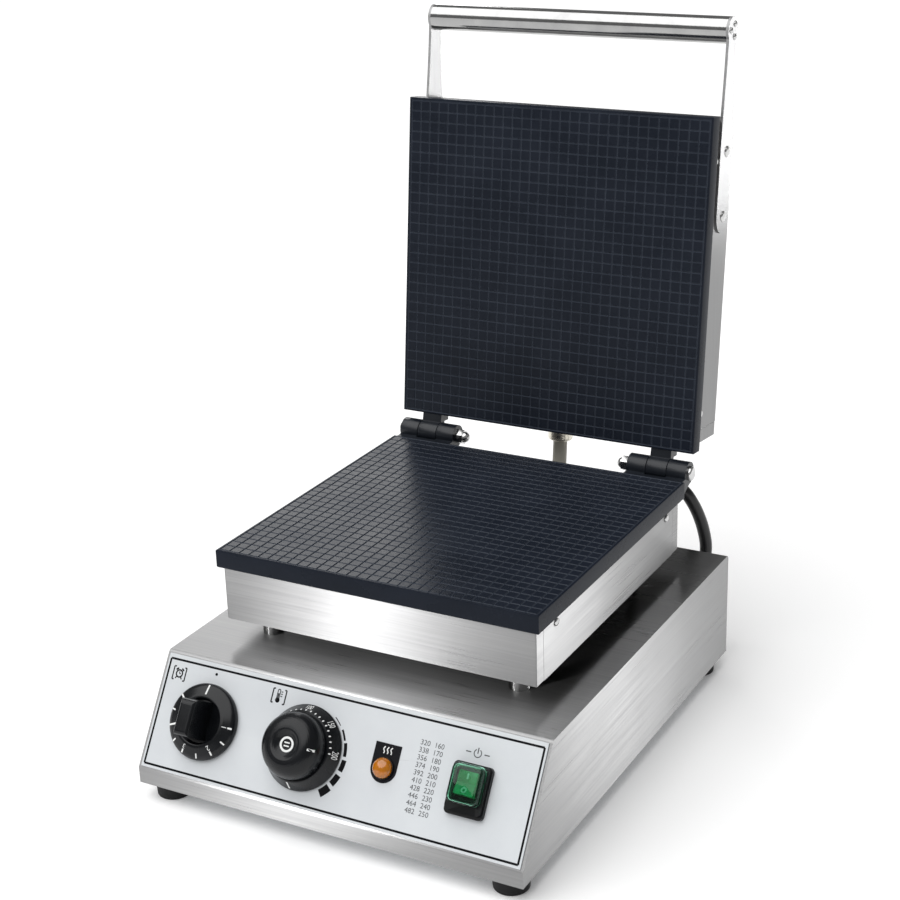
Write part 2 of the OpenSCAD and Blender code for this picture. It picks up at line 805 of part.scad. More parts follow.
module lower_screw_places() {
  for (x = lower_screw_x) translate([x, pad_y, plate_z - lower_screw_z]) rotate([-90, 0, 0]) children();
}

// Countersunk screw whose flat head ends at z = 0
module flush_screw(reach, r) {
  rotate_extrude() polygon([[0, -pad_t - reach], [r, -pad_t - reach], [r, -2], [r + 1.8, -0.2],
    [r + 1.8, 0], [0, 0]]);
}

module lower_hinge_screws() {
  bright_steel() at_base() both_sides() lower_screw_places() flush_screw(9.5, bracket_screw_r);
}

// Lug of the lid bracket, in the closed pose: a flange on the plate's rear face
module lug_outline() {
  lug_z0 = plate_z + plate_gap + 0.6;
  lug_z1 = plate_z + plate_gap + plate_t - 0.3;
  polygon([[plate_back, lug_z0], [hinge_y, hinge_z - 2], [hinge_y, hinge_z + 5],
    [plate_back + lug_t, hinge_z + 6.2], [plate_back + lug_t, lug_z1], [plate_back, lug_z1]]);
}

// Heel of the lid bracket, in the open pose: it rests on the lower bracket's pad
module heel_outline() {
  heel_y = pad_y + stop_gap;
  polygon([[heel_y, hinge_z - 12.5], [hinge_y - 3, hinge_z - 12.5], [hinge_y + 3, hinge_z - 7],
    [hinge_y, hinge_z], [heel_y, hinge_z - 5.5]]);
}

module lid_bracket_outline() {
  difference() {
    union() {
      translate([hinge_y, hinge_z]) rotate(-open_angle) translate([-hinge_y, -hinge_z]) lug_outline();
      heel_outline();
      translate([hinge_y, hinge_z]) circle(r = knuckle_r);
    }
    translate([hinge_y, hinge_z]) circle(r = pin_r + rot_fit);
  }
}

module upper_screw_places() {
  for (x = upper_screw_x) translate([x, plate_back + lug_t, plate_z + plate_gap + upper_screw_z])
    rotate([-90, 0, 0]) children();
}

module cap_screw(len, r, head_r, head_h) {
  difference() {
    union() {
      translate([0, 0, -len]) cylinder(h = len + eps, r = r);
      cylinder(h = head_h, r = head_r);
    }
    translate([0, 0, head_h - 1.4]) cylinder(h = 3, r = head_r * 0.5, $fn = 6);
  }
}

module upper_hinge_screws() {
  bright_steel() at_lid() both_sides() upper_screw_places() cap_screw(lug_t + 9, bracket_screw_r, 2.6, 2.4);
}

module upper_brackets() {
  cast_black() both_sides() difference() {
    at_base() along_x(mid_x0, mid_x1) lid_bracket_outline();
    at_lid() upper_screw_places() translate([0, 0, -20]) cylinder(h = 21, r = bracket_screw_r);
  }
}

module hinge_pins() {
  bright_steel() at_base() both_sides() translate([0, hinge_y, hinge_z]) {
    rod_x(hinge_x0, hinge_x1 + eps, pin_r);
    rod_x(hinge_x0 - 9, hinge_x0 + eps, pin_thread_r);
    translate([hinge_x1, 0, 0]) rotate([0, 90, 0])
      rotate_extrude() polygon(concat([[0, 0], [5.4, 0], [5.4, 1.2]], arc(3.6, 1.2, 1.8, 0, 90), [[0, 3]]));
  }
}

module hinge_acorn_nuts() {
  bright_steel() at_base() both_sides() translate([hinge_x0, hinge_y, hinge_z])
    rotate([0, -90, 0]) acorn_nut(10, 6, pin_thread_r, 9);
}

// ---------------------------------------------------------------- handle

function lid_y(u) = plate_back - u;
function lid_z(n) = plate_z + plate_gap + n;

module arm_screw_places() {
  both_sides() for (u = arm_screw_u)
    translate([casing_x, plate_w - u, -arm_n]) rotate([0, 90, 0]) children();
}

// Half-width and middle line of an arm at height u, easing from the wide to the narrow part
function ease(t) = t * t * (3 - 2 * t);
function arm_mix(u) = ease(min(1, max(0, (u - arm_bend_u0) / (arm_bend_u1 - arm_bend_u0))));
function arm_mid(u) = arm_n + (bar_n - arm_n) * arm_mix(u);
function arm_half(u) = (arm_low_w + (arm_top_w - arm_low_w) * arm_mix(u)) / 2;

module arm_outline() {
  bend = [for (i = [0 : 8]) arm_bend_u0 + (arm_bend_u1 - arm_bend_u0) * i / 8];
  steps = concat([arm_end_u + arm_low_w / 2], bend, [bar_u]);
  edge = concat([for (u = steps) [lid_y(u), lid_z(arm_mid(u) - arm_half(u))]],
    [for (i = [len(steps) - 1 : -1 : 0]) [lid_y(steps[i]), lid_z(arm_mid(steps[i]) + arm_half(steps[i]))]]);
  polygon(edge);
  translate([lid_y(arm_end_u + arm_low_w / 2), lid_z(arm_n)]) circle(r = arm_low_w / 2);
  translate([lid_y(bar_u), lid_z(bar_n)]) circle(r = bar_r);
}

module handle_arms() {
  steel() both_sides() difference() {
    at_lid() along_x(casing_x, casing_x + arm_t) arm_outline();
    at_lid() for (u = arm_screw_u) translate([casing_x - 1, lid_y(u), lid_z(arm_n)])
      rotate([0, 90, 0]) cylinder(h = 10, r = 2);
    at_lid() rivet_places() cylinder(h = 20, r = 1.5, center = true);
  }
}

module rivet_places() {
  for (a = [30, 150, 270]) translate([casing_x, lid_y(bar_u) + 5 * cos(a), lid_z(bar_n) + 5 * sin(a)])
    rotate([0, 90, 0]) children();
}

module handle_arm_screws() {
  bright_steel() at_lid() both_sides() for (u = arm_screw_u)
    translate([casing_x + arm_t, lid_y(u), lid_z(arm_n)]) rotate([0, 90, 0]) small_screw(8, 2, 4);
}

module handle_bar() {
  bright_steel() at_lid() translate([0, lid_y(bar_u), lid_z(bar_n)]) difference() {
    rod_x(-casing_x, casing_x, bar_r);
    rod_x(-casing_x - 1, casing_x + 1, bar_r - 1.2);
  }
}

module handle_plugs() {
  bright_steel() at_lid() both_sides() difference() {
    translate([0, lid_y(bar_u), lid_z(bar_n)]) rod_x(casing_x - 10, casing_x, bar_r - 1.2);
    rivet_places() translate([0, 0, -8]) cylinder(h = 12, r = 1.5);
  }
}

module handle_rivets() {
  bright_steel() at_lid() both_sides() rivet_places() translate([0, 0, arm_t]) small_screw(9, 1.5, 2.2);
}

// ---------------------------------------------------------------- leads, glands and wiring

module gland(flats, hex_h, dome_r, dome_h, bore) {
  difference() {
    union() {
      translate([0, 0, -8]) cylinder(h = 9, r = gland_thread_r);
      cylinder(h = hex_h, r = flats / 2 / cos(30), $fn = 6);
      translate([0, 0, hex_h]) rotate_extrude()
        polygon(concat([[0, 0], [dome_r, 0]], arc(dome_r - 2.5, dome_h - 2.5, 2.5, 0, 90), [[0, dome_h]]));
    }
    translate([0, 0, -20]) cylinder(h = 60, r = bore);
  }
}

module lid_gland() {
  bright_steel() at_lid() translate([0, plate_back - casing_inset, lid_z(lid_gland_n)])
    rotate([-90, 0, 0]) gland(22.5, 8, 9.5, 9, lid_sleeve_r);
}

module lid_sleeve() {
  color([0.62, 0.66, 0.62]) at_lid() translate([0, plate_back - casing_inset, lid_z(lid_gland_n)])
    rotate([-90, 0, 0]) difference() {
      translate([0, 0, -9]) cylinder(h = 9 + lid_sleeve_len, r = lid_sleeve_r);
      translate([0, 0, -10]) cylinder(h = 11 + lid_sleeve_len, r = 4.4);
    }
}

module base_lead_gland() {
  black_plastic() at_base() translate([base_gland_x, panel_back, gland_z]) rotate([-90, 0, 0])
    gland(18, 8, 8.5, base_gland_len - 8, lead_r - 0.3);
}

module mains_gland() {
  black_plastic() at_base() translate([mains_x, panel_back, gland_z]) rotate([-90, 0, 0])
    gland(18, 8, 8.5, mains_gland_len - 8, mains_bore_r);
}

function tangent(pts, i) =
  i == 0 ? [0, cos(open_angle), -sin(open_angle)] :
  i == len(pts) - 1 ? [0, -1, 0] :
  unit(pts[i + 1] - pts[i - 1]);

function side_dir(dir) = unit(cross(dir, abs(dir[1]) > 0.9 ? [1, 0, 0] : [0, 1, 0]));

// Rings of a tube carried along the route, each turned as little as possible from the one before
function carried(prev, dir) = unit(prev - (prev * dir) * dir);

function frames(pts, i = 0, prev = [0, 0, 0]) =
  let (dir = tangent(pts, i), side = i == 0 ? side_dir(dir) : carried(prev, dir))
  i == len(pts) - 1 ? [[dir, side]] : concat([[dir, side]], frames(pts, i + 1, side));

module tube_along(pts, r, sides) {
  fr = frames(pts);
  rings = [for (i = [0 : len(pts) - 1], k = [0 : sides - 1])
    let (a = 360 * k / sides, up = cross(fr[i][0], fr[i][1]))
    pts[i] + r * (cos(a) * fr[i][1] + sin(a) * up)];
  last = (len(pts) - 1) * sides;
  walls = [for (i = [0 : len(pts) - 2], k = [0 : sides - 1])
    let (n = (k + 1) % sides)
    [i * sides + k, (i + 1) * sides + k, (i + 1) * sides + n, i * sides + n]];
  ends = [[for (k = [0 : sides - 1]) k], [for (k = [sides - 1 : -1 : 0]) last + k]];
  polyhedron(points = rings, faces = concat(walls, ends), convexity = 10);
}

module lid_lead() {
  rubber() at_base() tube_along(lead_points, lead_r, lead_sides);
}

module terminal_block() {
  color([0.93, 0.92, 0.88]) at_base() translate([mains_x - 12, base_d - 75, sheet_t - 0.05]) difference() {
    cube([50, 22, 18]);
    for (i = [0 : 3]) translate([8 + i * 11.3, 11, 8]) cylinder(h = 12, r = 3.2);
    for (i = [0 : 3]) translate([8 + i * 11.3, -1, 5]) rotate([-90, 0, 0]) cylinder(h = 24, r = 2);
  }
}

// Sensing bulb of the thermostat, under the heater clamp of the lower plate
module thermostat_bulb() {
  brass() lower_half() translate([bulb_x, 70, clamp_z - clamp_t - bulb_r]) rotate([-90, 0, 0])
    cylinder(h = 70, r = bulb_r);
}

// ---------------------------------------------------------------- assembly

base_housing();
bottom_plate();
rear_panel();
rear_panel_screws();
feet();
foot_bolts();
control_fascia();
lamp_label();
lamp_body();
lamp_lens();
switch_body();
switch_rocker();
switch_cover();
timer_body();
thermostat_body();
control_nuts();
timer_knob();
timer_shaft();
thermostat_dial();
thermostat_cap();
thermostat_shaft();
lower_plate();
lower_heater();
lower_heater_clamp();
lower_insulation();
lower_casing();
lower_side_panels();
lower_casing_screws();
lower_studs();
casing_spacers();
stud_nuts();
wire_conduit();
lower_brackets();  // lower_hinge_brackets
lower_hinge_screws();
hinge_pins();
hinge_acorn_nuts();
upper_brackets();  // upper_hinge_brackets
upper_hinge_screws();
upper_plate();
upper_heater();
upper_heater_clamp();
upper_insulation();
upper_casing();
upper_side_panels();
upper_casing_screws();
upper_studs();
upper_stud_nuts();
handle_arms();
handle_arm_screws();
handle_bar();
handle_plugs();
handle_rivets();
lid_gland();
lid_sleeve();
base_lead_gland();
mains_gland();
lid_lead();
terminal_block();
thermostat_bulb();
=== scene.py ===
"""Looks of the cone waffle maker: materials, printed panel, grooved plates, lid lead, light and camera."""

import json
import math

import bmesh
import bpy
from mathutils import Matrix, Vector


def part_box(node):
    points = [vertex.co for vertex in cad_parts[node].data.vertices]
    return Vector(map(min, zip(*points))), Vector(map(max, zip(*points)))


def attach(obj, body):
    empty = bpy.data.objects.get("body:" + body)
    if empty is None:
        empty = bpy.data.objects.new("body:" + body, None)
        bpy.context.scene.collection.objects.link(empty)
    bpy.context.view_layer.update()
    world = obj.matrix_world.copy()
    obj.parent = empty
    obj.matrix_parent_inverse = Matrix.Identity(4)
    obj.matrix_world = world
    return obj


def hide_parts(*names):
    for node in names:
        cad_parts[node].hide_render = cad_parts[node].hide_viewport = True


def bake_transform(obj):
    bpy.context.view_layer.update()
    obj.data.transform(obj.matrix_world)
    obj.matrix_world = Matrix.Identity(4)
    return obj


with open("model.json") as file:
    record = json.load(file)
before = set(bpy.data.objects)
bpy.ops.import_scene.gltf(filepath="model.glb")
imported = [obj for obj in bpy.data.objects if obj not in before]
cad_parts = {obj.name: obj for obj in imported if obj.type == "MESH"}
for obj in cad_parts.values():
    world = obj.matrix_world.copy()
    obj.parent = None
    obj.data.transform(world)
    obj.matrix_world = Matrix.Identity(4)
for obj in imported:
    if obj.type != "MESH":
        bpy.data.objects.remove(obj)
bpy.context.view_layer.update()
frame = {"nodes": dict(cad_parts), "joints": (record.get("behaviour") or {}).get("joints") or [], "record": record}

MM = 0.001

# ------------------------------------------------------------------ places, all from the frame
JOINTS = {joint["name"]: joint for joint in frame["joints"]}
HOUSING_LOW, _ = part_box("base_housing")
LIP_Y = HOUSING_LOW.y
BASE_Z = HOUSING_LOW.z
PLATE_LOW, PLATE_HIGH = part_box("lower_plate")
PLATE_SIDE = PLATE_HIGH.x - PLATE_LOW.x
PLATE_THICK = 13 * MM
PLATE_GAP = 1 * MM
HINGE = Vector(JOINTS["lid_hinge"]["pos_m"])
OPEN_ANGLE = math.radians(JOINTS["lid_hinge"]["range_deg"][1])
OPEN_LID = Matrix.Translation(HINGE) @ Matrix.Rotation(-OPEN_ANGLE, 4, "X") @ Matrix.Translation(-HINGE)

PANEL_NORMAL = Vector(JOINTS["timer_turn"]["axis"])
PANEL_UP = Vector((0, PANEL_NORMAL.z, -PANEL_NORMAL.y))
TIMER_AT = Vector(JOINTS["timer_turn"]["pos_m"])
THERMOSTAT_AT = Vector(JOINTS["thermostat_turn"]["pos_m"])
ROW_S = 39.4
FASCIA_T = 0.8
PRINT_T = 0.05
TIMER_X = TIMER_AT.x / MM
DIAL_X = THERMOSTAT_AT.x / MM
LAMP_X = 36.0
SWITCH_X = 97.3


def on_panel(x, s, h):
    """A point x across the panel, s up the slope and h out of the sheet, all in mm."""
    foot = Vector((x * MM, TIMER_AT.y, TIMER_AT.z))
    return foot + PANEL_UP * ((s - ROW_S) * MM) + PANEL_NORMAL * (h * MM)


def lower_half(x, y, z):
    """A point of the lower plate: y from its front edge, z up from its cooking face, in mm."""
    return Vector((x * MM, PLATE_LOW.y + y * MM, PLATE_HIGH.z + z * MM))


def upper_half(x, y, z):
    """The same point of the upper plate, with the lid open."""
    closed = lower_half(x, y, 0) + Vector((0, 0, PLATE_GAP - z * MM))
    return OPEN_LID @ closed


# ------------------------------------------------------------------ node materials
# Most of a noise lies between these
NOISE_LOW, NOISE_HIGH = 0.3, 0.7
# Scales of a noise: even, or drawn out along one axis as brushing does
EVEN = (1, 1, 1)
ALONG_X = (0.012, 1, 1)
ALONG_Y = (1, 0.012, 1)
ALONG_Z = (1, 1, 0.02)
STEEL_LOW, STEEL_HIGH = (0.25, 0.25, 0.253), (0.30, 0.30, 0.30)
STEEL_ROUGH = (0.27, 0.31)
STEEL_WEAR = 0.012
FINE_SHARE = 0.75
SIDEWAYS = 0.7
SKIN_DEPTH = 0.0002


def new_material(name):
    mat = bpy.data.materials.new(name)
    mat.use_nodes = True
    tree = mat.node_tree
    tree.nodes.clear()
    out = tree.nodes.new("ShaderNodeOutputMaterial")
    shader = tree.nodes.new("ShaderNodeBsdfPrincipled")
    tree.links.new(shader.outputs[0], out.inputs[0])
    return mat, tree, shader


def node(tree, kind, **settings):
    made = tree.nodes.new("ShaderNode" + kind)
    for key, value in settings.items():
        setattr(made, key, value)
    return made


def noise(tree, scale, stretch, detail, rough):
    """Noise in the object's own space, in metres, with its grain drawn out by stretch."""
    mapping = node(tree, "Mapping")
    mapping.inputs["Scale"].default_value = stretch
    tree.links.new(node(tree, "TexCoord").outputs["Object"], mapping.inputs["Vector"])
    tex = node(tree, "TexNoise")
    tex.inputs["Scale"].default_value = scale
    tex.inputs["Detail"].default_value = detail
    tex.inputs["Roughness"].default_value = rough
    tree.links.new(mapping.outputs[0], tex.inputs["Vector"])
    return tex.outputs["Fac"]


def remap(tree, value, low, high):
    """Spreads the usual range of a noise over low to high."""
    made = node(tree, "MapRange")
    made.inputs["From Min"].default_value = NOISE_LOW
    made.inputs["From Max"].default_value = NOISE_HIGH
    made.inputs["To Min"].default_value = low
    made.inputs["To Max"].default_value = high
    tree.links.new(value, made.inputs["Value"])
    return made.outputs["Result"]


def mix_colour(tree, fac, low, high):
    made = node(tree, "Mix", data_type="RGBA")
    tree.links.new(fac, made.inputs[0])
    made.inputs[6].default_value = (*low, 1)
    made.inputs[7].default_value = (*high, 1)
    return made.outputs[2]


def bump(tree, shader, height, strength, distance=SKIN_DEPTH):
    made = node(tree, "Bump")
    made.inputs["Strength"].default_value = strength
    made.inputs["Distance"].default_value = distance
    tree.links.new(height, made.inputs["Height"])
    tree.links.new(made.outputs[0], shader.inputs["Normal"])


def math_node(tree, operation, a, b):
    made = node(tree, "Math", operation=operation)
    for slot, value in enumerate((a, b)):
        if isinstance(value, (int, float)):
            made.inputs[slot].default_value = value
        else:
            tree.links.new(value, made.inputs[slot])
    return made.outputs[0]


def grained(tree, sideways, grains, scale, detail, rough):
    """Noise with the first grain, and with the second on the faces that look sideways."""
    made = node(tree, "Mix", data_type="FLOAT")
    tree.links.new(sideways, made.inputs[0])
    for slot, grain in zip((2, 3), grains):
        tree.links.new(noise(tree, scale, grain, detail, rough), made.inputs[slot])
    return made.outputs[0]


def set_tangent(tree, shader, sideways, side_across):
    """Gives the streaked highlight its direction, with another on the faces that look sideways."""
    tangent = node(tree, "Mix", data_type="VECTOR")
    tree.links.new(sideways, tangent.inputs[0])
    tangent.inputs[4].default_value = (0, 1, 1)
    tangent.inputs[5].default_value = side_across
    world = node(tree, "VectorTransform", vector_type="VECTOR", convert_from="OBJECT", convert_to="WORLD")
    tree.links.new(tangent.outputs[1], world.inputs[0])
    tree.links.new(world.outputs[0], shader.inputs["Tangent"])


def brushed_metal(name, grain, side_grain, side_across):
    """Sheet steel brushed along one axis, and along another on the faces that look sideways."""
    mat, tree, shader = new_material(name)
    shader.inputs["Metallic"].default_value = 1.0
    facing = node(tree, "SeparateXYZ")
    tree.links.new(node(tree, "TexCoord").outputs["Normal"], facing.inputs[0])
    sideways = math_node(tree, "GREATER_THAN", math_node(tree, "ABSOLUTE", facing.outputs[0], 0), SIDEWAYS)
    fine = grained(tree, sideways, (grain, side_grain), 900, 3.0, 0.6)
    broad = grained(tree, sideways, (grain, side_grain), 160, 5.0, 0.6)
    cloud = noise(tree, 14, EVEN, 2.0, 0.5)
    fine_part = math_node(tree, "MULTIPLY", fine, FINE_SHARE)
    both = math_node(tree, "ADD", fine_part, math_node(tree, "MULTIPLY", broad, 1 - FINE_SHARE))
    colour = mix_colour(tree, remap(tree, both, 0, 1), STEEL_LOW, STEEL_HIGH)
    tree.links.new(colour, shader.inputs["Base Color"])
    rough = remap(tree, both, *STEEL_ROUGH)
    worn = math_node(tree, "ADD", rough, remap(tree, cloud, -STEEL_WEAR, STEEL_WEAR))
    tree.links.new(worn, shader.inputs["Roughness"])
    shader.inputs["Anisotropic"].default_value = 1.0
    set_tangent(tree, shader, sideways, side_across)
    bump(tree, shader, both, 0.02)
    return mat


def plain_metal(name, low, high, rough_low, rough_high, grain=EVEN, scale=400):
    mat, tree, shader = new_material(name)
    shader.inputs["Metallic"].default_value = 1.0
    fine = noise(tree, scale, grain, 4.0, 0.6)
    cloud = noise(tree, 60, EVEN, 3.0, 0.6)
    tree.links.new(mix_colour(tree, remap(tree, cloud, 0, 1), low, high), shader.inputs["Base Color"])
    tree.links.new(remap(tree, fine, rough_low, rough_high), shader.inputs["Roughness"])
    bump(tree, shader, fine, 0.05)
    return mat


def moulded(name, low, high, rough_low, rough_high, scale=900, depth=0.12, specular=0.22):
    """Plastic, rubber or paint: a little colour drift, a fine moulded skin and uneven gloss."""
    mat, tree, shader = new_material(name)
    skin = noise(tree, scale, EVEN, 3.0, 0.6)
    cloud = noise(tree, 35, EVEN, 4.0, 0.6)
    tree.links.new(mix_colour(tree, remap(tree, cloud, 0, 1), low, high), shader.inputs["Base Color"])
    tree.links.new(remap(tree, cloud, rough_low, rough_high), shader.inputs["Roughness"])
    shader.inputs["Specular IOR Level"].default_value = specular
    bump(tree, shader, skin, depth)
    return mat


def cast_coating(name, low, high):
    """Dark non-stick coating over cast metal: fine orange peel, rubbed lighter in broad patches."""
    mat, tree, shader = new_material(name)
    peel = noise(tree, 1600, EVEN, 3.0, 0.6)
    cloud = noise(tree, 22, EVEN, 5.0, 0.62)
    tree.links.new(mix_colour(tree, remap(tree, cloud, 0, 1), low, high), shader.inputs["Base Color"])
    tree.links.new(remap(tree, cloud, 0.24, 0.32), shader.inputs["Roughness"])
    shader.inputs["Specular IOR Level"].default_value = 0.1
    bump(tree, shader, peel, 0.10)
    return mat


def tinted_clear(name, colour, rough):
    """Translucent plastic with faint flow marks, tinted through its thickness."""
    mat, tree, shader = new_material(name)
    flow = noise(tree, 120, (1, 3, 1), 3.0, 0.5)
    deep = tuple(0.72 * c for c in colour)
    tree.links.new(mix_colour(tree, remap(tree, flow, 0, 1), deep, colour), shader.inputs["Base Color"])
    tree.links.new(remap(tree, flow, rough * 0.7, rough * 1.4), shader.inputs["Roughness"])
    shader.inputs["IOR"].default_value = 1.49
    bump(tree, shader, flow, 0.03)
    return mat, shader


def amber_lens():
    mat, shader = tinted_clear("amber_lens", (0.82, 0.27, 0.003), 0.08)
    shader.inputs["Transmission Weight"].default_value = 0.45
    shader.inputs["Emission Color"].default_value = (1.0, 0.25, 0.0, 1)
    shader.inputs["Emission Strength"].default_value = 0.03
    shader.inputs["Coat Weight"].default_value = 0.6
    return mat


def green_rocker():
    mat, shader = tinted_clear("green_rocker", (0.03, 0.36, 0.16), 0.18)
    shader.inputs["Subsurface Weight"].default_value = 0.2
    shader.inputs["Subsurface Radius"].default_value = (0.001, 0.003, 0.001)
    # The emission is a painted glow: the rocker is no lamp, yet it glows faintly as if lit through its green
    # plastic
    shader.inputs["Emission Color"].default_value = (0.02, 0.40, 0.14, 1)
    shader.inputs["Emission Strength"].default_value = 0.10
    return mat


def clear_cover():
    mat, shader = tinted_clear("clear_cover", (0.34, 0.84, 0.58), 0.05)
    shader.inputs["Transmission Weight"].default_value = 1.0
    shader.inputs["IOR"].default_value = 1.35
    return mat


def wool():
    mat, tree, shader = new_material("mineral_wool")
    fibre = noise(tree, 700, (1, 1, 6), 6.0, 0.7)
    tree.links.new(mix_colour(tree, remap(tree, fibre, 0, 1), (0.55, 0.48, 0.30), (0.86, 0.80, 0.60)),
                   shader.inputs["Base Color"])
    tree.links.new(remap(tree, fibre, 0.85, 1.0), shader.inputs["Roughness"])
    bump(tree, shader, fibre, 0.6, 0.001)
    return mat


MATERIALS = {
    "brushed_steel": brushed_metal("brushed_steel", ALONG_X, ALONG_Y, (0, 0, 1)),
    "lid_steel": brushed_metal("lid_steel", ALONG_X, ALONG_Z, (0, 1, 0)),
    "bright_steel": plain_metal("bright_steel", (0.56, 0.56, 0.56), (0.70, 0.70, 0.69), 0.14, 0.26),
    "polished_tube": plain_metal("polished_tube", (0.36, 0.36, 0.36), (0.43, 0.43, 0.425),
                                 0.10, 0.17, ALONG_X, 700),
    "zinc_steel": plain_metal("zinc_steel", (0.50, 0.52, 0.54), (0.62, 0.64, 0.66), 0.35, 0.5),
    "element_sheath": plain_metal("element_sheath", (0.24, 0.19, 0.16), (0.42, 0.36, 0.31), 0.35, 0.55),
    "copper_bulb": plain_metal("copper_bulb", (0.62, 0.28, 0.14), (0.80, 0.42, 0.24), 0.2, 0.35),
    "nickel_brass": plain_metal("nickel_brass", (0.60, 0.56, 0.48), (0.74, 0.71, 0.62), 0.2, 0.34),
    "hinge_black": moulded("hinge_black", (0.006, 0.008, 0.012), (0.012, 0.015, 0.021),
                           0.28, 0.38, 1100, 0.16, 0.4),
    "cast_plate": cast_coating("cast_plate", (0.009, 0.012, 0.019), (0.015, 0.019, 0.029)),
    # Lighter coating of the grooves: partly rubbed wear, partly a painted highlight for the light the groove
    # flanks catch
    "groove_wear_and_painted_highlight": cast_coating("groove_wear_and_painted_highlight", (0.034, 0.041, 0.056), (0.048, 0.057, 0.076)),
    "mineral_wool": wool(),
    "rubber": moulded("rubber", (0.006, 0.006, 0.007), (0.012, 0.012, 0.013), 0.5, 0.65, 800, 0.2),
    "lead_rubber": moulded("lead_rubber", (0.006, 0.006, 0.007), (0.012, 0.012, 0.013),
                           0.26, 0.36, 700, 0.10, 0.4),
    "fascia": moulded("fascia", (0.63, 0.655, 0.68), (0.67, 0.695, 0.715), 0.36, 0.44, 2200, 0.05),
    "label_black": moulded("label_black", (0.004, 0.004, 0.006), (0.008, 0.008, 0.011),
                           0.3, 0.4, specular=0.12),
    "black_plastic": moulded("black_plastic", (0.004, 0.0045, 0.005), (0.008, 0.0085, 0.010), 0.30, 0.42),
    "knob_plastic": moulded("knob_plastic", (0.003, 0.0036, 0.0045), (0.007, 0.008, 0.010),
                            0.20, 0.30, 1200, 0.06, 0.3),
    "cream_plastic": moulded("cream_plastic", (0.72, 0.68, 0.55), (0.82, 0.79, 0.68), 0.35, 0.5),
    "silicone_sleeve": moulded("silicone_sleeve", (0.42, 0.40, 0.34), (0.54, 0.52, 0.45), 0.4, 0.55),
    "amber_lens": amber_lens(),
    "green_rocker": green_rocker(),
    "clear_cover": clear_cover(),
    "print_black": moulded("print_black", (0.003, 0.003, 0.004), (0.006, 0.006, 0.007),
                           0.4, 0.5, specular=0.08),
    "print_grey": moulded("print_grey", (0.08, 0.083, 0.087), (0.11, 0.115, 0.12), 0.4, 0.5, specular=0.1),
    "print_white": moulded("print_white", (0.80, 0.81, 0.80), (0.88, 0.89, 0.88), 0.4, 0.5),
}

# Brushed upright on their sides, where the base is brushed level
LID_STEEL_NODES = ("upper_casing", "upper_side_panels", "handle_arms")
# Rounding of their edges, in mm
ROUNDED_NODES = {
    "base_housing": 1.1, "lower_casing": 1.0, "upper_casing": 1.0, "switch_body": 0.6, "control_fascia": 0.2,
    "lower_hinge_brackets": 0.5, "upper_hinge_brackets": 0.5, "timer_knob": 1.0, "switch_rocker": 0.5,
    "lamp_label": 0.1, "hinge_acorn_nuts": 0.3, "upper_stud_nuts": 0.3, "lid_gland": 0.3,
    "base_lead_gland": 0.3, "mains_gland": 0.3,
}
WELD_DISTANCE = 0.01 * MM
BEVEL_STEPS = 3
BEVEL_ANGLE = 40


def dress_cad_nodes():
    slots = {part["node"]: part["material_slot"] for part in frame["record"]["subparts"]}
    for name, obj in frame["nodes"].items():
        key = slots[name]
        if name in LID_STEEL_NODES:
            key = "lid_steel"
        obj.data.materials.clear()
        obj.data.materials.append(MATERIALS[key])
        if name in ROUNDED_NODES:
            round_edges(obj, ROUNDED_NODES[name] * MM)


def round_edges(obj, width):
    weld = obj.modifiers.new("weld", "WELD")
    weld.merge_threshold = WELD_DISTANCE
    bevel = obj.modifiers.new("round", "BEVEL")
    bevel.width = width
    bevel.segments = BEVEL_STEPS
    bevel.limit_method = "ANGLE"
    bevel.angle_limit = math.radians(BEVEL_ANGLE)
    bevel.harden_normals = True


# ------------------------------------------------------------------ new pieces
def add_piece(name, verts, faces, material, body=None, smooth_angle=None, replaces=()):
    mesh = bpy.data.meshes.new(name)
    mesh.from_pydata([tuple(v) for v in verts], [], faces)
    clean = bmesh.new()
    clean.from_mesh(mesh)
    bmesh.ops.recalc_face_normals(clean, faces=clean.faces)
    clean.to_mesh(mesh)
    clean.free()
    mesh.materials.append(MATERIALS[material])
    obj = bpy.data.objects.new(name, mesh)
    bpy.context.scene.collection.objects.link(obj)
    if smooth_angle is not None:
        mesh.polygons.foreach_set("use_smooth", [True] * len(mesh.polygons))
        mesh.set_sharp_from_angle(angle=math.radians(smooth_angle))
    if replaces:
        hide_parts(*replaces)
    if body is not None:
        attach(obj, body)
    return obj


# The plates, in mm
GROOVE_PITCH = 7.6
GROOVE_MARGIN = 2.2
GROOVE_COUNT = 32
GROOVE_TOP = 1.3
GROOVE_FLOOR = 0.5
GROOVE_DEPTH = 0.6
PLATE_EDGE = 0.7
EDGE_TURN = 0.3
PLATE_FOOT = 0.8
PLATE_SMOOTH = 30
TINY = 1e-6
BOSS_SIDES = 32
BOSS_R = 9
BOSS_H = 10
BOSS_SUNK = 0.5
STUD_X = 94
STUD_INSET = 24


def groove_lines(side):
    """Lines across the plate: (distance, height at the rim, height in the lattice or None outside it)."""
    far = GROOVE_MARGIN + (GROOVE_COUNT - 1) * GROOVE_PITCH
    turn = PLATE_EDGE * EDGE_TURN
    lines = [(0, -PLATE_EDGE, None), (turn, -turn, None), (PLATE_EDGE, 0, None)]
    for k in range(GROOVE_COUNT):
        middle = GROOVE_MARGIN + k * GROOVE_PITCH
        inner = ((middle - GROOVE_TOP / 2, 0), (middle - GROOVE_FLOOR / 2, -GROOVE_DEPTH),
                 (middle + GROOVE_FLOOR / 2, -GROOVE_DEPTH), (middle + GROOVE_TOP / 2, 0))
        lines += [(at, 0, height) for at, height in inner]
    lines += [(side - at, height, None) for at, height, _ in reversed(lines[:3])]
    lattice_low, lattice_high = GROOVE_MARGIN - GROOVE_FLOOR / 2, far + GROOVE_FLOOR / 2

    def in_lattice(at):
        return lattice_low - TINY <= at <= lattice_high + TINY

    return [(at, rim, height if in_lattice(at) else None) for at, rim, height in lines]


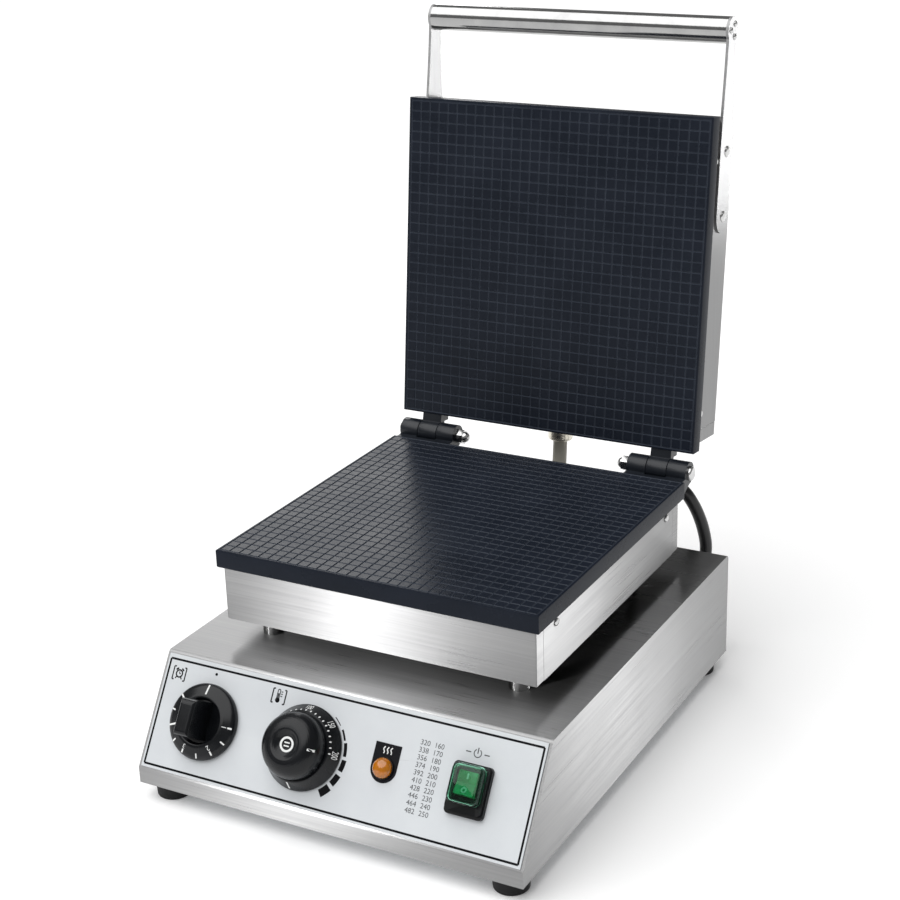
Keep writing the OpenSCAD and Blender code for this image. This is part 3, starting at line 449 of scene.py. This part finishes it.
def face_height(a, b):
    """Height where line a crosses line b: the lattice inside the outermost grooves, the rim outside."""
    if a[2] is None or b[2] is None:
        return min(a[1], b[1])
    return min(a[2], b[2])


def outline_of(n):
    """Indices round the edge of an n by n grid of points."""
    return (list(range(n)) + [j * n + n - 1 for j in range(1, n)]
            + [(n - 1) * n + i for i in range(n - 2, -1, -1)] + [j * n for j in range(n - 2, 0, -1)])


def close_below(verts, faces, rim, side, thick):
    """Adds the plate's sides and its underside, with a small chamfer, to the grooved face."""
    rings = [rim]
    for inset, depth in ((0, thick - PLATE_FOOT), (PLATE_FOOT, thick)):
        start = len(verts)
        for k in rim:
            x, y, _ = verts[k]
            verts.append((max(-side / 2 + inset, min(side / 2 - inset, x)),
                          max(inset, min(side - inset, y)), -depth))
        rings.append(list(range(start, start + len(rim))))
    count = len(rim)
    for upper, lower in zip(rings, rings[1:]):
        faces += [(upper[k], lower[k], lower[(k + 1) % count], upper[(k + 1) % count]) for k in range(count)]
    faces.append(tuple(rings[-1]))


def colour_grooves(plate, verts, grid_faces, side):
    """Gives the sides and floors of the grooves their own lighter coating: partly rubbed wear, partly a painted
    highlight for the light their flanks catch.
    """
    plate.data.materials.append(MATERIALS["groove_wear_and_painted_highlight"])
    for k, face in enumerate(grid_faces):
        low = min(verts[i][2] for i in face)
        inside = all(PLATE_EDGE < verts[i][1] < side - PLATE_EDGE
                     and abs(verts[i][0]) < side / 2 - PLATE_EDGE for i in face)
        plate.data.polygons[k].material_index = 1 if inside and low < -GROOVE_DEPTH / 2 else 0


def grooved_plate(name, place, body, node_name):
    """A cast plate with a real lattice of grooves, rounded rims and the four stud bosses under it."""
    side = PLATE_SIDE / MM
    thick = PLATE_THICK / MM
    lines = groove_lines(side)
    n = len(lines)
    verts = [(a[0] - side / 2, b[0], face_height(a, b)) for b in lines for a in lines]
    grid_faces = [(j * n + i, j * n + i + 1, (j + 1) * n + i + 1, (j + 1) * n + i)
                  for j in range(n - 1) for i in range(n - 1)]
    faces = list(grid_faces)
    close_below(verts, faces, outline_of(n), side, thick)
    for x in (-STUD_X, STUD_X):
        for y in (STUD_INSET, side - STUD_INSET):
            add_boss(verts, faces, x, y, -thick + BOSS_SUNK, -thick - BOSS_H)
    placed = [place(*v) for v in verts]
    plate = add_piece(name, placed, faces, "cast_plate", body, PLATE_SMOOTH, (node_name,))
    colour_grooves(plate, verts, grid_faces, side)


def add_boss(verts, faces, x, y, top, bottom):
    steps = BOSS_SIDES
    start = len(verts)
    for z in (top, bottom):
        for k in range(steps):
            a = 2 * math.pi * k / steps
            verts.append((x + BOSS_R * math.cos(a), y + BOSS_R * math.sin(a), z))
    faces += [(start + k, start + (k + 1) % steps, start + steps + (k + 1) % steps, start + steps + k)
              for k in range(steps)]
    faces.append(tuple(start + k for k in range(steps)))
    faces.append(tuple(start + steps + k for k in range(steps)))


# ------------------------------------------------------------------ lid lead
LEAD_R = 4.75
LEAD_STEPS = 6
LEAD_SIDES = 20
LEAD_SMOOTH = 50
# From the lid's gland to the one in the rear panel, in mm: across, back from the lip, up from the base
LEAD_ROUTE = [
    (0, 357.4, 123.4), (0, 356.5, 112), (2, 357, 100), (9, 358, 90), (20, 360, 84.5), (33, 362, 85),
    (45, 364, 91.5), (56, 366, 101), (66, 367.5, 110), (77, 369.5, 116.5), (88, 371.5, 116.5),
    (96.7, 374, 110.4), (101.7, 378.5, 100), (104.7, 383.5, 88.5), (106.7, 388, 76), (108, 391, 62),
    (107.7, 389.5, 50), (106.8, 384, 40.5), (105.7, 376, 35.2), (105, 368.2, 34),
]


def smooth_path(points, steps):
    """Points on a smooth curve through the given ones."""
    path = []
    for k in range(len(points) - 1):
        p = [points[max(0, k - 1)], points[k], points[k + 1], points[min(len(points) - 1, k + 2)]]
        for i in range(steps):
            t = i / steps
            path.append(0.5 * (2 * p[1] + (p[2] - p[0]) * t + (2 * p[0] - 5 * p[1] + 4 * p[2] - p[3]) * t ** 2
                               + (3 * p[1] - p[0] - 3 * p[2] + p[3]) * t ** 3))
    return path + [points[-1]]


def sweep(path, radius, sides):
    """Rings round a path, each turned as little as possible from the one before."""
    verts, faces = [], []
    along = (path[1] - path[0]).normalized()
    across = along.orthogonal().normalized()
    for k, point in enumerate(path):
        ahead = path[min(k + 1, len(path) - 1)] - path[max(k - 1, 0)]
        along = ahead.normalized()
        across = (across - along * across.dot(along)).normalized()
        up = along.cross(across)
        for i in range(sides):
            a = 2 * math.pi * i / sides
            verts.append(point + radius * (across * math.cos(a) + up * math.sin(a)))
        if k:
            base = (k - 1) * sides
            faces += [(base + i, base + (i + 1) % sides, base + sides + (i + 1) % sides, base + sides + i)
                      for i in range(sides)]
    faces.append(tuple(range(sides)))
    faces.append(tuple(range(len(verts) - sides, len(verts))))
    return verts, faces


def lid_lead():
    points = [Vector((x * MM, LIP_Y + y * MM, BASE_Z + z * MM)) for x, y, z in LEAD_ROUTE]
    path = smooth_path(points, LEAD_STEPS)
    verts, faces = sweep(path, LEAD_R * MM, LEAD_SIDES)
    lead = add_piece("lid_lead_sheath", verts, faces, "lead_rubber", None, LEAD_SMOOTH,
                     ("lid_lead",))
    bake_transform(lead)


# ------------------------------------------------------------------ printed panel
def prism(verts, faces, outline, place, low, high):
    """Adds a flat outline, given as (a, b) pairs, raised from low to high by place(a, b, h)."""
    start, count = len(verts), len(outline)
    verts += [place(a, b, low) for a, b in outline] + [place(a, b, high) for a, b in outline]
    faces += [(start + k, start + (k + 1) % count, start + count + (k + 1) % count, start + count + k)
              for k in range(count)]
    faces.append(tuple(start + k for k in range(count)))
    faces.append(tuple(start + count + k for k in range(count)))


def bar(a0, b0, a1, b1, width):
    dx, dy = a1 - a0, b1 - b0
    length = math.hypot(dx, dy)
    nx, ny = -dy / length * width / 2, dx / length * width / 2
    return [(a0 + nx, b0 + ny), (a1 + nx, b1 + ny), (a1 - nx, b1 - ny), (a0 - nx, b0 - ny)]


def disc(a, b, r, steps=24):
    return [(a + r * math.cos(2 * math.pi * k / steps), b + r * math.sin(2 * math.pi * k / steps))
            for k in range(steps)]


def band(a, b, r0, r1, start, end, steps=14):
    """Outline of part of a ring round (a, b), from start to end in degrees."""
    angles = [math.radians(start + (end - start) * k / steps) for k in range(steps + 1)]
    return ([(a + r1 * math.cos(t), b + r1 * math.sin(t)) for t in angles]
            + [(a + r0 * math.cos(t), b + r0 * math.sin(t)) for t in reversed(angles)])


def closed_line(points, width):
    """Outlines of the strokes of a closed line."""
    return [bar(*points[k], *points[(k + 1) % len(points)], width) for k in range(len(points))]


def printed(name, outlines, material, body, low, place=on_panel, high=None):
    verts, faces = [], []
    for outline in outlines:
        prism(verts, faces, outline, place, low, (high if high is not None else low + PRINT_T))
    add_piece(name, verts, faces, material, body)


def digits(text, size):
    """Flat outlines of a number, centred on the origin, as (vertices, faces) in mm."""
    curve = bpy.data.curves.new("digits", "FONT")
    curve.body = text
    curve.size = size
    curve.align_x = "CENTER"
    curve.align_y = "CENTER"
    curve.resolution_u = 3
    holder = bpy.data.objects.new("digits", curve)
    bpy.context.scene.collection.objects.link(holder)
    bpy.context.view_layer.update()
    mesh = holder.to_mesh()
    verts = [(v.co.x, v.co.y) for v in mesh.vertices]
    faces = [tuple(p.vertices) for p in mesh.polygons]
    holder.to_mesh_clear()
    bpy.data.objects.remove(holder)
    bpy.data.curves.remove(curve)
    return verts, faces


def numbers(name, items, material, body, height, place):
    """Numbers laid on a surface. Each item is (text, a, b, size, turn in degrees); height(a, b) in mm."""
    verts, faces = [], []
    for text, a, b, size, turn in items:
        flat, polys = digits(text, size)
        c, s = math.cos(math.radians(turn)), math.sin(math.radians(turn))
        start = len(verts)
        for x, y in flat:
            p, q = a + x * c - y * s, b + x * s + y * c
            verts.append(place(p, q, height(p, q) + PRINT_T))
        faces += [tuple(start + i for i in poly) for poly in polys]
    add_piece(name, verts, faces, material, body)


BORDER_X, BORDER_LOW, BORDER_HIGH = 139.0, 3.9, 75.3
LINE_W = 1.4
ICON_LINE = 0.9


def bracket_pair(x, s, half_w, half_h):
    """A pair of square brackets round an icon."""
    lines = []
    for side in (-1, 1):
        edge = x + side * half_w
        lines.append(bar(edge, s - half_h, edge, s + half_h, ICON_LINE))
        for end in (-1, 1):
            lines.append(bar(edge, s + end * half_h, edge - side * 1.4, s + end * half_h, ICON_LINE))
    return lines


def alarm_clock(x, s):
    face = band(x, s, 1.9, 2.9, 0, 360, 28)
    hands = [bar(x, s, x, s + 1.5, 0.6), bar(x, s, x + 1.1, s, 0.6)]
    bells = [band(x, s, 3.1, 4.2, 35, 70, 4), band(x, s, 3.1, 4.2, 110, 145, 4)]
    legs = [bar(x + side * 1.7, s - 2.3, x + side * 2.5, s - 3.6, 0.8) for side in (-1, 1)]
    return [face] + hands + bells + legs


def thermometer(x, s):
    tube = [bar(x - 0.9, s - 1.5, x - 0.9, s + 3.6, 0.6), bar(x + 0.9, s - 1.5, x + 0.9, s + 3.6, 0.6)]
    ticks = [bar(x + 1.6, s + k, x + 3.0, s + k, 0.6) for k in (0.2, 1.7, 3.2)]
    bulb = [disc(x, s - 2.6, 1.7), bar(x, s - 2.0, x, s + 2.0, 0.8)]
    return bulb + [band(x, s + 3.6, 0.6, 1.2, 0, 180, 8)] + tube + ticks


# Blocks round the right of the thermostat dial, clockwise: start angle, end angle, width
ARC_R = 28.9
ARC_BLOCKS = ((54, 41, 0.6), (35, 21, 1.4), (18, 1.5, 2.3),
              (-2.5, -16.5, 3.4), (-21.5, -35, 4.3), (-39.5, -53.5, 5.2))


def growing_arc():
    """Six blocks that grow clockwise round the right of the thermostat dial."""
    return [band(DIAL_X, ROW_S, ARC_R, ARC_R + width, start, end) for start, end, width in ARC_BLOCKS]


TABLE_X, TABLE_TOP, TABLE_PITCH, TABLE_SIZE = (60.3, 70.2), 60.9, 4.75, 4.7
TABLE_FIRST, TABLE_STEP, TABLE_ROWS = 160, 10, 10
CLOCK_AT, THERMOMETER_AT, TIMER_DOT_AT, POWER_AT = (-129.9, 66.3), (-51.2, 67.3), (-101.2, 71.5), (96.6, 62.4)
BRACKETS_X = -50.7


def print_panel():
    corners = [(-BORDER_X, BORDER_LOW), (BORDER_X, BORDER_LOW),
               (BORDER_X, BORDER_HIGH), (-BORDER_X, BORDER_HIGH)]
    outlines = closed_line(corners, LINE_W)
    outlines += alarm_clock(*CLOCK_AT) + bracket_pair(*CLOCK_AT, 4.9, 4.4)
    outlines += thermometer(*THERMOMETER_AT) + bracket_pair(BRACKETS_X, THERMOMETER_AT[1], 5.0, 4.6)
    outlines += [disc(*TIMER_DOT_AT, 1.0)]
    outlines += growing_arc()
    printed("panel_print", outlines, "print_black", "base", FASCIA_T)
    printed("power_mark", power_mark(*POWER_AT), "print_grey", "base", FASCIA_T)
    numbers("degree_table", degree_rows(), "print_grey", "base", lambda a, b: FASCIA_T, on_panel)


def power_mark(x, s):
    """A broken ring with a stroke in its gap, between two dashes."""
    dashes = [bar(x + side * 4.6, s, x + side * 8.2, s, 0.7) for side in (-1, 1)]
    return [band(x, s, 2.2, 2.8, 120, 420, 24), bar(x, s - 0.2, x, s + 3.5, 0.7)] + dashes


def degree_rows():
    """Degrees Fahrenheit and Celsius side by side, as items for numbers()."""
    rows = []
    for k in range(TABLE_ROWS):
        celsius = TABLE_FIRST + TABLE_STEP * k
        s = TABLE_TOP - TABLE_PITCH * k
        for x, degrees in zip(TABLE_X, (round(celsius * 1.8 + 32), celsius)):
            rows.append((str(degrees), x, s, TABLE_SIZE, 0))
    return rows


# ------------------------------------------------------------------ knobs and switch
KNOB_FOOT = 1.6
SKIRT = ((24.4, KNOB_FOOT + 4.3), (16.5, KNOB_FOOT + 7.4))
DIAL = ((27.2, KNOB_FOOT + 1.8), (23.1, KNOB_FOOT + 8.7))
CONE_OVERRUN = 0.06
CAP_TOP = 26.2
CAP_R, CAP_EDGE_R = 21.4, 11.0


def timer_place(a, b, h):
    return on_panel(TIMER_X + a, ROW_S + b, h)


def cone_height(profile, a, b):
    """Height of a conical face, given as two (radius, height) pairs, at the point (a, b)."""
    (r0, h0), (r1, h1) = profile
    share = (r0 - math.hypot(a, b)) / (r0 - r1)
    return h0 + (h1 - h0) * min(1 + CONE_OVERRUN, max(-CONE_OVERRUN, share))


def polar_bar(angle, r0, r1, width):
    c, s = math.cos(math.radians(angle)), math.sin(math.radians(angle))
    return bar(r0 * c, r0 * s, r1 * c, r1 * s, width)


def polar(angle, r):
    return r * math.cos(math.radians(angle)), r * math.sin(math.radians(angle))


def on_skirt(a, b, lift):
    return timer_place(a, b, cone_height(SKIRT, a, b) + lift)


def on_dial(a, b, lift):
    return dial_place(a, b, cone_height(DIAL, a, b) + lift)


# Directions of the timer's marks, in degrees, and the numbers that stand inside three of them
TIMER_LONG = (91, 0, -54, -111, -163, 144)
TIMER_SHORT = (-27, -82, -136, 171)
TIMER_NUMBERS = (("1", 0), ("2", -54), ("3", -111))
TIMER_NUMBER_R = 19.2
TIMER_MARK_R = 24.3
TIMER_NUMBERED_R, TIMER_LONG_R, TIMER_SHORT_R = 21.6, 17.8, 21.2


def print_timer():
    numbered = [angle for _, angle in TIMER_NUMBERS]
    outlines = [polar_bar(a, TIMER_NUMBERED_R if a in numbered else TIMER_LONG_R, TIMER_MARK_R, 1.2)
                for a in TIMER_LONG]
    outlines += [polar_bar(a, TIMER_SHORT_R, TIMER_MARK_R, 1.0) for a in TIMER_SHORT]
    printed("timer_marks", outlines, "print_white", "timer_control", -0.04, on_skirt, 0.06)
    items = [(text, *polar(a, TIMER_NUMBER_R), 4.6, a - 90) for text, a in TIMER_NUMBERS]
    numbers("timer_numbers", items, "print_white", "timer_control",
            lambda a, b: cone_height(SKIRT, a, b), timer_place)


def dial_place(a, b, h):
    return on_panel(DIAL_X + a, ROW_S + b, h)


DIAL_NUMBERS = (("100", 91), ("150", 46), ("200", 0))
DIAL_NUMBER_R, DIAL_DOT_R = 25.7, 23.7
DIAL_DOT_ANGLES = range(1, 120, 9)
# Angle in degrees, inner and outer radius, width
DIAL_ZERO = (-93, 23.4, 27.0, 1.1)
CAP_HOLLOW = 2.95
CAP_RING_T = 0.35
# Inner and outer radius, width
POINTER = (15.8, 19.6, 1.5)
POINTER_STEPS = 8


def dome_height(a, b):
    """Height of the cap's rounded shoulder at the point (a, b)."""
    over = max(0, math.hypot(a, b) - (CAP_R - CAP_EDGE_R))
    return CAP_TOP - CAP_EDGE_R + math.sqrt(max(0, CAP_EDGE_R ** 2 - over ** 2))


def print_dial():
    dots = [disc(*polar(a, DIAL_DOT_R), 0.5, 10) for a in DIAL_DOT_ANGLES]
    dots.append(polar_bar(*DIAL_ZERO))
    printed("dial_marks", dots, "print_white", "thermostat_control", -0.05, on_dial, 0.07)
    items = [(text, *polar(a, DIAL_NUMBER_R), 3.5, a - 90) for text, a in DIAL_NUMBERS]
    numbers("dial_numbers", items, "print_white", "thermostat_control",
            lambda a, b: cone_height(DIAL, a, b), dial_place)
    ring = [band(0, 0, 3.6, 5.0, 0, 360, 36), bar(-1.9, -1.1, 1.9, -1.1, 0.8), bar(-1.9, 1.1, 1.9, 1.1, 0.8)]
    printed("cap_ring", ring, "print_white", "thermostat_control",
            CAP_TOP - CAP_HOLLOW, dial_place, CAP_TOP - CAP_HOLLOW + CAP_RING_T)
    print_pointer()


def print_pointer():
    """The short dash on the cap's shoulder."""
    r0, r1, width = POINTER
    steps = [r0 + (r1 - r0) * k / POINTER_STEPS for k in range(POINTER_STEPS + 1)]
    dash = [(r, -width / 2) for r in steps] + [(r, width / 2) for r in reversed(steps)]
    printed("cap_pointer", [dash], "print_white", "thermostat_control", -0.1,
            lambda a, b, h: dial_place(a, b, dome_height(a, b) + h), 0.07)


# Splash cover of the switch: levels above the bezel, with the inset of each from the foot
ROCKER_S = ROW_S + 3.2
COVER_FOOT = 6.2
COVER_W, COVER_L = 21.4, 25.0
COVER_OUT = [(0, 0.0, 4.0), (4.6, 0.1, 4.0), (5.5, 0.4, 4.0), (6.0, 0.9, 3.8), (6.2, 1.7, 3.6)]
COVER_WALL = 0.9
COVER_CORNER = 1.2
COVER_SMOOTH = 40
CORNER_STEPS = 6


def rounded_rectangle(width, length, radius):
    points = []
    for k, (sx, sy) in enumerate(((1, 1), (-1, 1), (-1, -1), (1, -1))):
        cx, cy = sx * (width / 2 - radius), sy * (length / 2 - radius)
        for i in range(CORNER_STEPS + 1):
            a = math.radians(90 * k + 90 * i / CORNER_STEPS)
            points.append((cx + radius * math.cos(a), cy + radius * math.sin(a)))
    return points


def skin(loops, faces):
    """Joins each loop of points to the next."""
    count = len(loops[0])
    for level in range(len(loops) - 1):
        low, high = level * count, (level + 1) * count
        faces += [(low + k, low + (k + 1) % count, high + (k + 1) % count, high + k) for k in range(count)]


def splash_cover():
    outer, inner = [], []
    for height, inset, radius in COVER_OUT:
        outline = rounded_rectangle(COVER_W - 2 * inset, COVER_L - 2 * inset, radius)
        outer.append([(a, b, COVER_FOOT + height) for a, b in outline])
        narrow = rounded_rectangle(COVER_W - 2 * (inset + COVER_WALL), COVER_L - 2 * (inset + COVER_WALL),
                                   max(COVER_CORNER, radius - COVER_WALL))
        drop = 0 if height == 0 else COVER_WALL
        inner.append([(a, b, COVER_FOOT + height - drop) for a, b in narrow])
    loops = list(reversed(inner)) + outer
    verts = [on_panel(SWITCH_X + a, ROCKER_S + b, h) for loop in loops for a, b, h in loop]
    faces = []
    skin(loops, faces)
    count = len(loops[0])
    faces.append(tuple(range(count)))
    faces.append(tuple(range(len(verts) - count, len(verts))))
    add_piece("switch_splash_cover", verts, faces, "clear_cover", "base", COVER_SMOOTH,
              ("switch_cover",))


ROCKER_TILT = math.radians(-9)
ROCKER_Z = 4.5
# The rocker's top: height at its middle, rise to each end, half its length
ROCKER_MIDDLE, ROCKER_RISE, ROCKER_HALF = 4.3, 1.1, 7.4
ROCKER_MARK_T = 0.16


def rocker_place(a, b, h):
    """A point on the rocker, given before it is tilted."""
    s = b * math.cos(ROCKER_TILT) - h * math.sin(ROCKER_TILT)
    lift = b * math.sin(ROCKER_TILT) + h * math.cos(ROCKER_TILT)
    return on_panel(SWITCH_X + a, ROCKER_S + s, ROCKER_Z + lift)


def rocker_top(b):
    return ROCKER_MIDDLE + abs(b) / ROCKER_HALF * ROCKER_RISE


def print_rocker():
    on_mark = bar(0, 2.6, 0, 6.0, 1.1)
    off_mark = band(0, -4.4, 0.9, 1.9, 0, 360, 24)
    verts, faces = [], []
    for outline in (on_mark, off_mark):
        prism(verts, faces, outline, lambda a, b, h: rocker_place(a, b, rocker_top(b) + h),
              0, ROCKER_MARK_T)
    add_piece("rocker_marks", verts, faces, "print_white", "switch_control")


LABEL_T = 0.3
WAVE_FOOT = 48.6
WAVE_PITCH = 2.6
WAVE_SWING, WAVE_TURN = 0.5, 1.25
WAVE_RISE, WAVE_STEPS = 0.72, 6
WAVE_LINE = 0.75


def heat_mark():
    """Three rising waves on the lamp's label."""
    outlines = []
    for k in (-1, 0, 1):
        points = [(LAMP_X + k * WAVE_PITCH + WAVE_SWING * math.sin(t * WAVE_TURN), WAVE_FOOT + t * WAVE_RISE)
                  for t in range(WAVE_STEPS + 1)]
        outlines += [bar(*near, *far, WAVE_LINE) for near, far in zip(points, points[1:])]
    printed("heat_mark", outlines, "print_white", "base", FASCIA_T + LABEL_T)


# ------------------------------------------------------------------ studio
CAMERA_AZIMUTH = math.radians(28.987)
CAMERA_ELEVATION = math.radians(20.920)
CAMERA_ROLL = math.radians(-1.796)
CAMERA_DISTANCE = 1.2441
CAMERA_LENS = 74.15
CAMERA_TARGET = Vector((6.7 * MM, LIP_Y + 172.4 * MM, BASE_Z + 201.1 * MM))


def camera():
    a, e, r = CAMERA_AZIMUTH, CAMERA_ELEVATION, CAMERA_ROLL
    ahead = Vector((-math.sin(a) * math.cos(e), math.cos(a) * math.cos(e), -math.sin(e)))
    level = Vector((math.cos(a), math.sin(a), 0))
    above = level.cross(ahead)
    right = level * math.cos(r) + above * math.sin(r)
    up = above * math.cos(r) - level * math.sin(r)
    data = bpy.data.cameras.new("camera")
    data.lens = CAMERA_LENS
    data.sensor_width = 36
    obj = bpy.data.objects.new("camera", data)
    bpy.context.scene.collection.objects.link(obj)
    turn = Matrix((right, up, -ahead)).transposed().to_4x4()
    obj.matrix_world = Matrix.Translation(CAMERA_TARGET - ahead * CAMERA_DISTANCE) @ turn
    bpy.context.scene.camera = obj


def soft_light(name, place, aim, width, height, power):
    data = bpy.data.lights.new(name, "AREA")
    data.shape = "RECTANGLE"
    data.size, data.size_y = width, height
    data.energy = power
    obj = bpy.data.objects.new(name, data)
    bpy.context.scene.collection.objects.link(obj)
    obj.location = place
    obj.rotation_euler = (Vector(aim) - Vector(place)).to_track_quat("-Z", "Y").to_euler()
    obj.visible_camera = False
    return obj


def stage_card(name, corners, material):
    mesh = bpy.data.meshes.new(name)
    mesh.from_pydata([tuple(c) for c in corners], [], [(0, 1, 2, 3)])
    mesh.materials.append(material)
    obj = bpy.data.objects.new(name, mesh)
    bpy.context.scene.collection.objects.link(obj)


def floor_material():
    mat, tree, shader = new_material("floor_sweep")
    cloud = noise(tree, 1.5, (1, 1, 1), 2.0, 0.5)
    tree.links.new(mix_colour(tree, remap(tree, cloud, 0, 1), (0.97, 0.97, 0.97), (0.98, 0.98, 0.98)),
                   shader.inputs["Base Color"])
    shader.inputs["Roughness"].default_value = 0.9
    shader.inputs["Specular IOR Level"].default_value = 0.1
    shader.inputs["Emission Color"].default_value = (1, 1, 1, 1)
    shader.inputs["Emission Strength"].default_value = FLOOR_GLOW
    return mat


# Soft lights: place, width, height and power. The camera doesn't see them.
# STEEL_LIGHTS reach only the pieces of brushed steel, and draw the highlights on them
LIGHTS = {
    "front_left_strip": ((-0.80, -1.56, 0.40), 0.16, 0.80, 13),
    "right_back_strip": ((1.03, 1.13, 0.40), 0.18, 0.80, 12.5),
    "left_back_panel": ((-0.95, 1.20, 0.85), 0.6, 0.5, 3.5),
}
STEEL_LIGHTS = ("front_left_strip", "right_back_strip")
STEEL_SLOTS = ("brushed_steel", "lid_steel")
LIGHT_AIM = (0, 0, 0.25)
WORLD_LEVEL = 0.23
FLOOR_GLOW = 0.12
SKY_STRENGTH = 2.75
SKY_SPREAD = math.radians(75)
SKY_FROM = Vector((-0.25, -0.35, 1.0))


def studio():
    stage_card("floor", [(-8, -8, 0), (8, -8, 0), (8, 8, 0), (-8, 8, 0)], floor_material())
    world = bpy.data.worlds.new("studio")
    bpy.context.scene.world = world
    world.use_nodes = True
    background = world.node_tree.nodes["Background"]
    background.inputs[0].default_value = (1, 1, 1, 1)
    background.inputs[1].default_value = WORLD_LEVEL
    sky = bpy.data.lights.new("sky", "SUN")
    sky.energy = SKY_STRENGTH
    sky.angle = SKY_SPREAD
    lamp = bpy.data.objects.new("sky", sky)
    bpy.context.scene.collection.objects.link(lamp)
    lamp.rotation_euler = SKY_FROM.to_track_quat("Z", "Y").to_euler()
    steel = bpy.data.collections.new("steel_receivers")
    for obj in frame["nodes"].values():
        if obj.data.materials[0] in [MATERIALS[key] for key in STEEL_SLOTS]:
            steel.objects.link(obj)
    for name, (place, width, height, power) in LIGHTS.items():
        light = soft_light(name, place, LIGHT_AIM, width, height, power)
        if name in STEEL_LIGHTS:
            light.light_linking.receiver_collection = steel
    bpy.context.scene.view_settings.view_transform = "Standard"


camera()
dress_cad_nodes()
lid_lead()
grooved_plate("lower_grooved_plate", lower_half, "base", "lower_plate")
grooved_plate("upper_grooved_plate", upper_half, "lid", "upper_plate")
print_panel()
print_timer()
print_dial()
splash_cover()
print_rocker()
heat_mark()
studio()
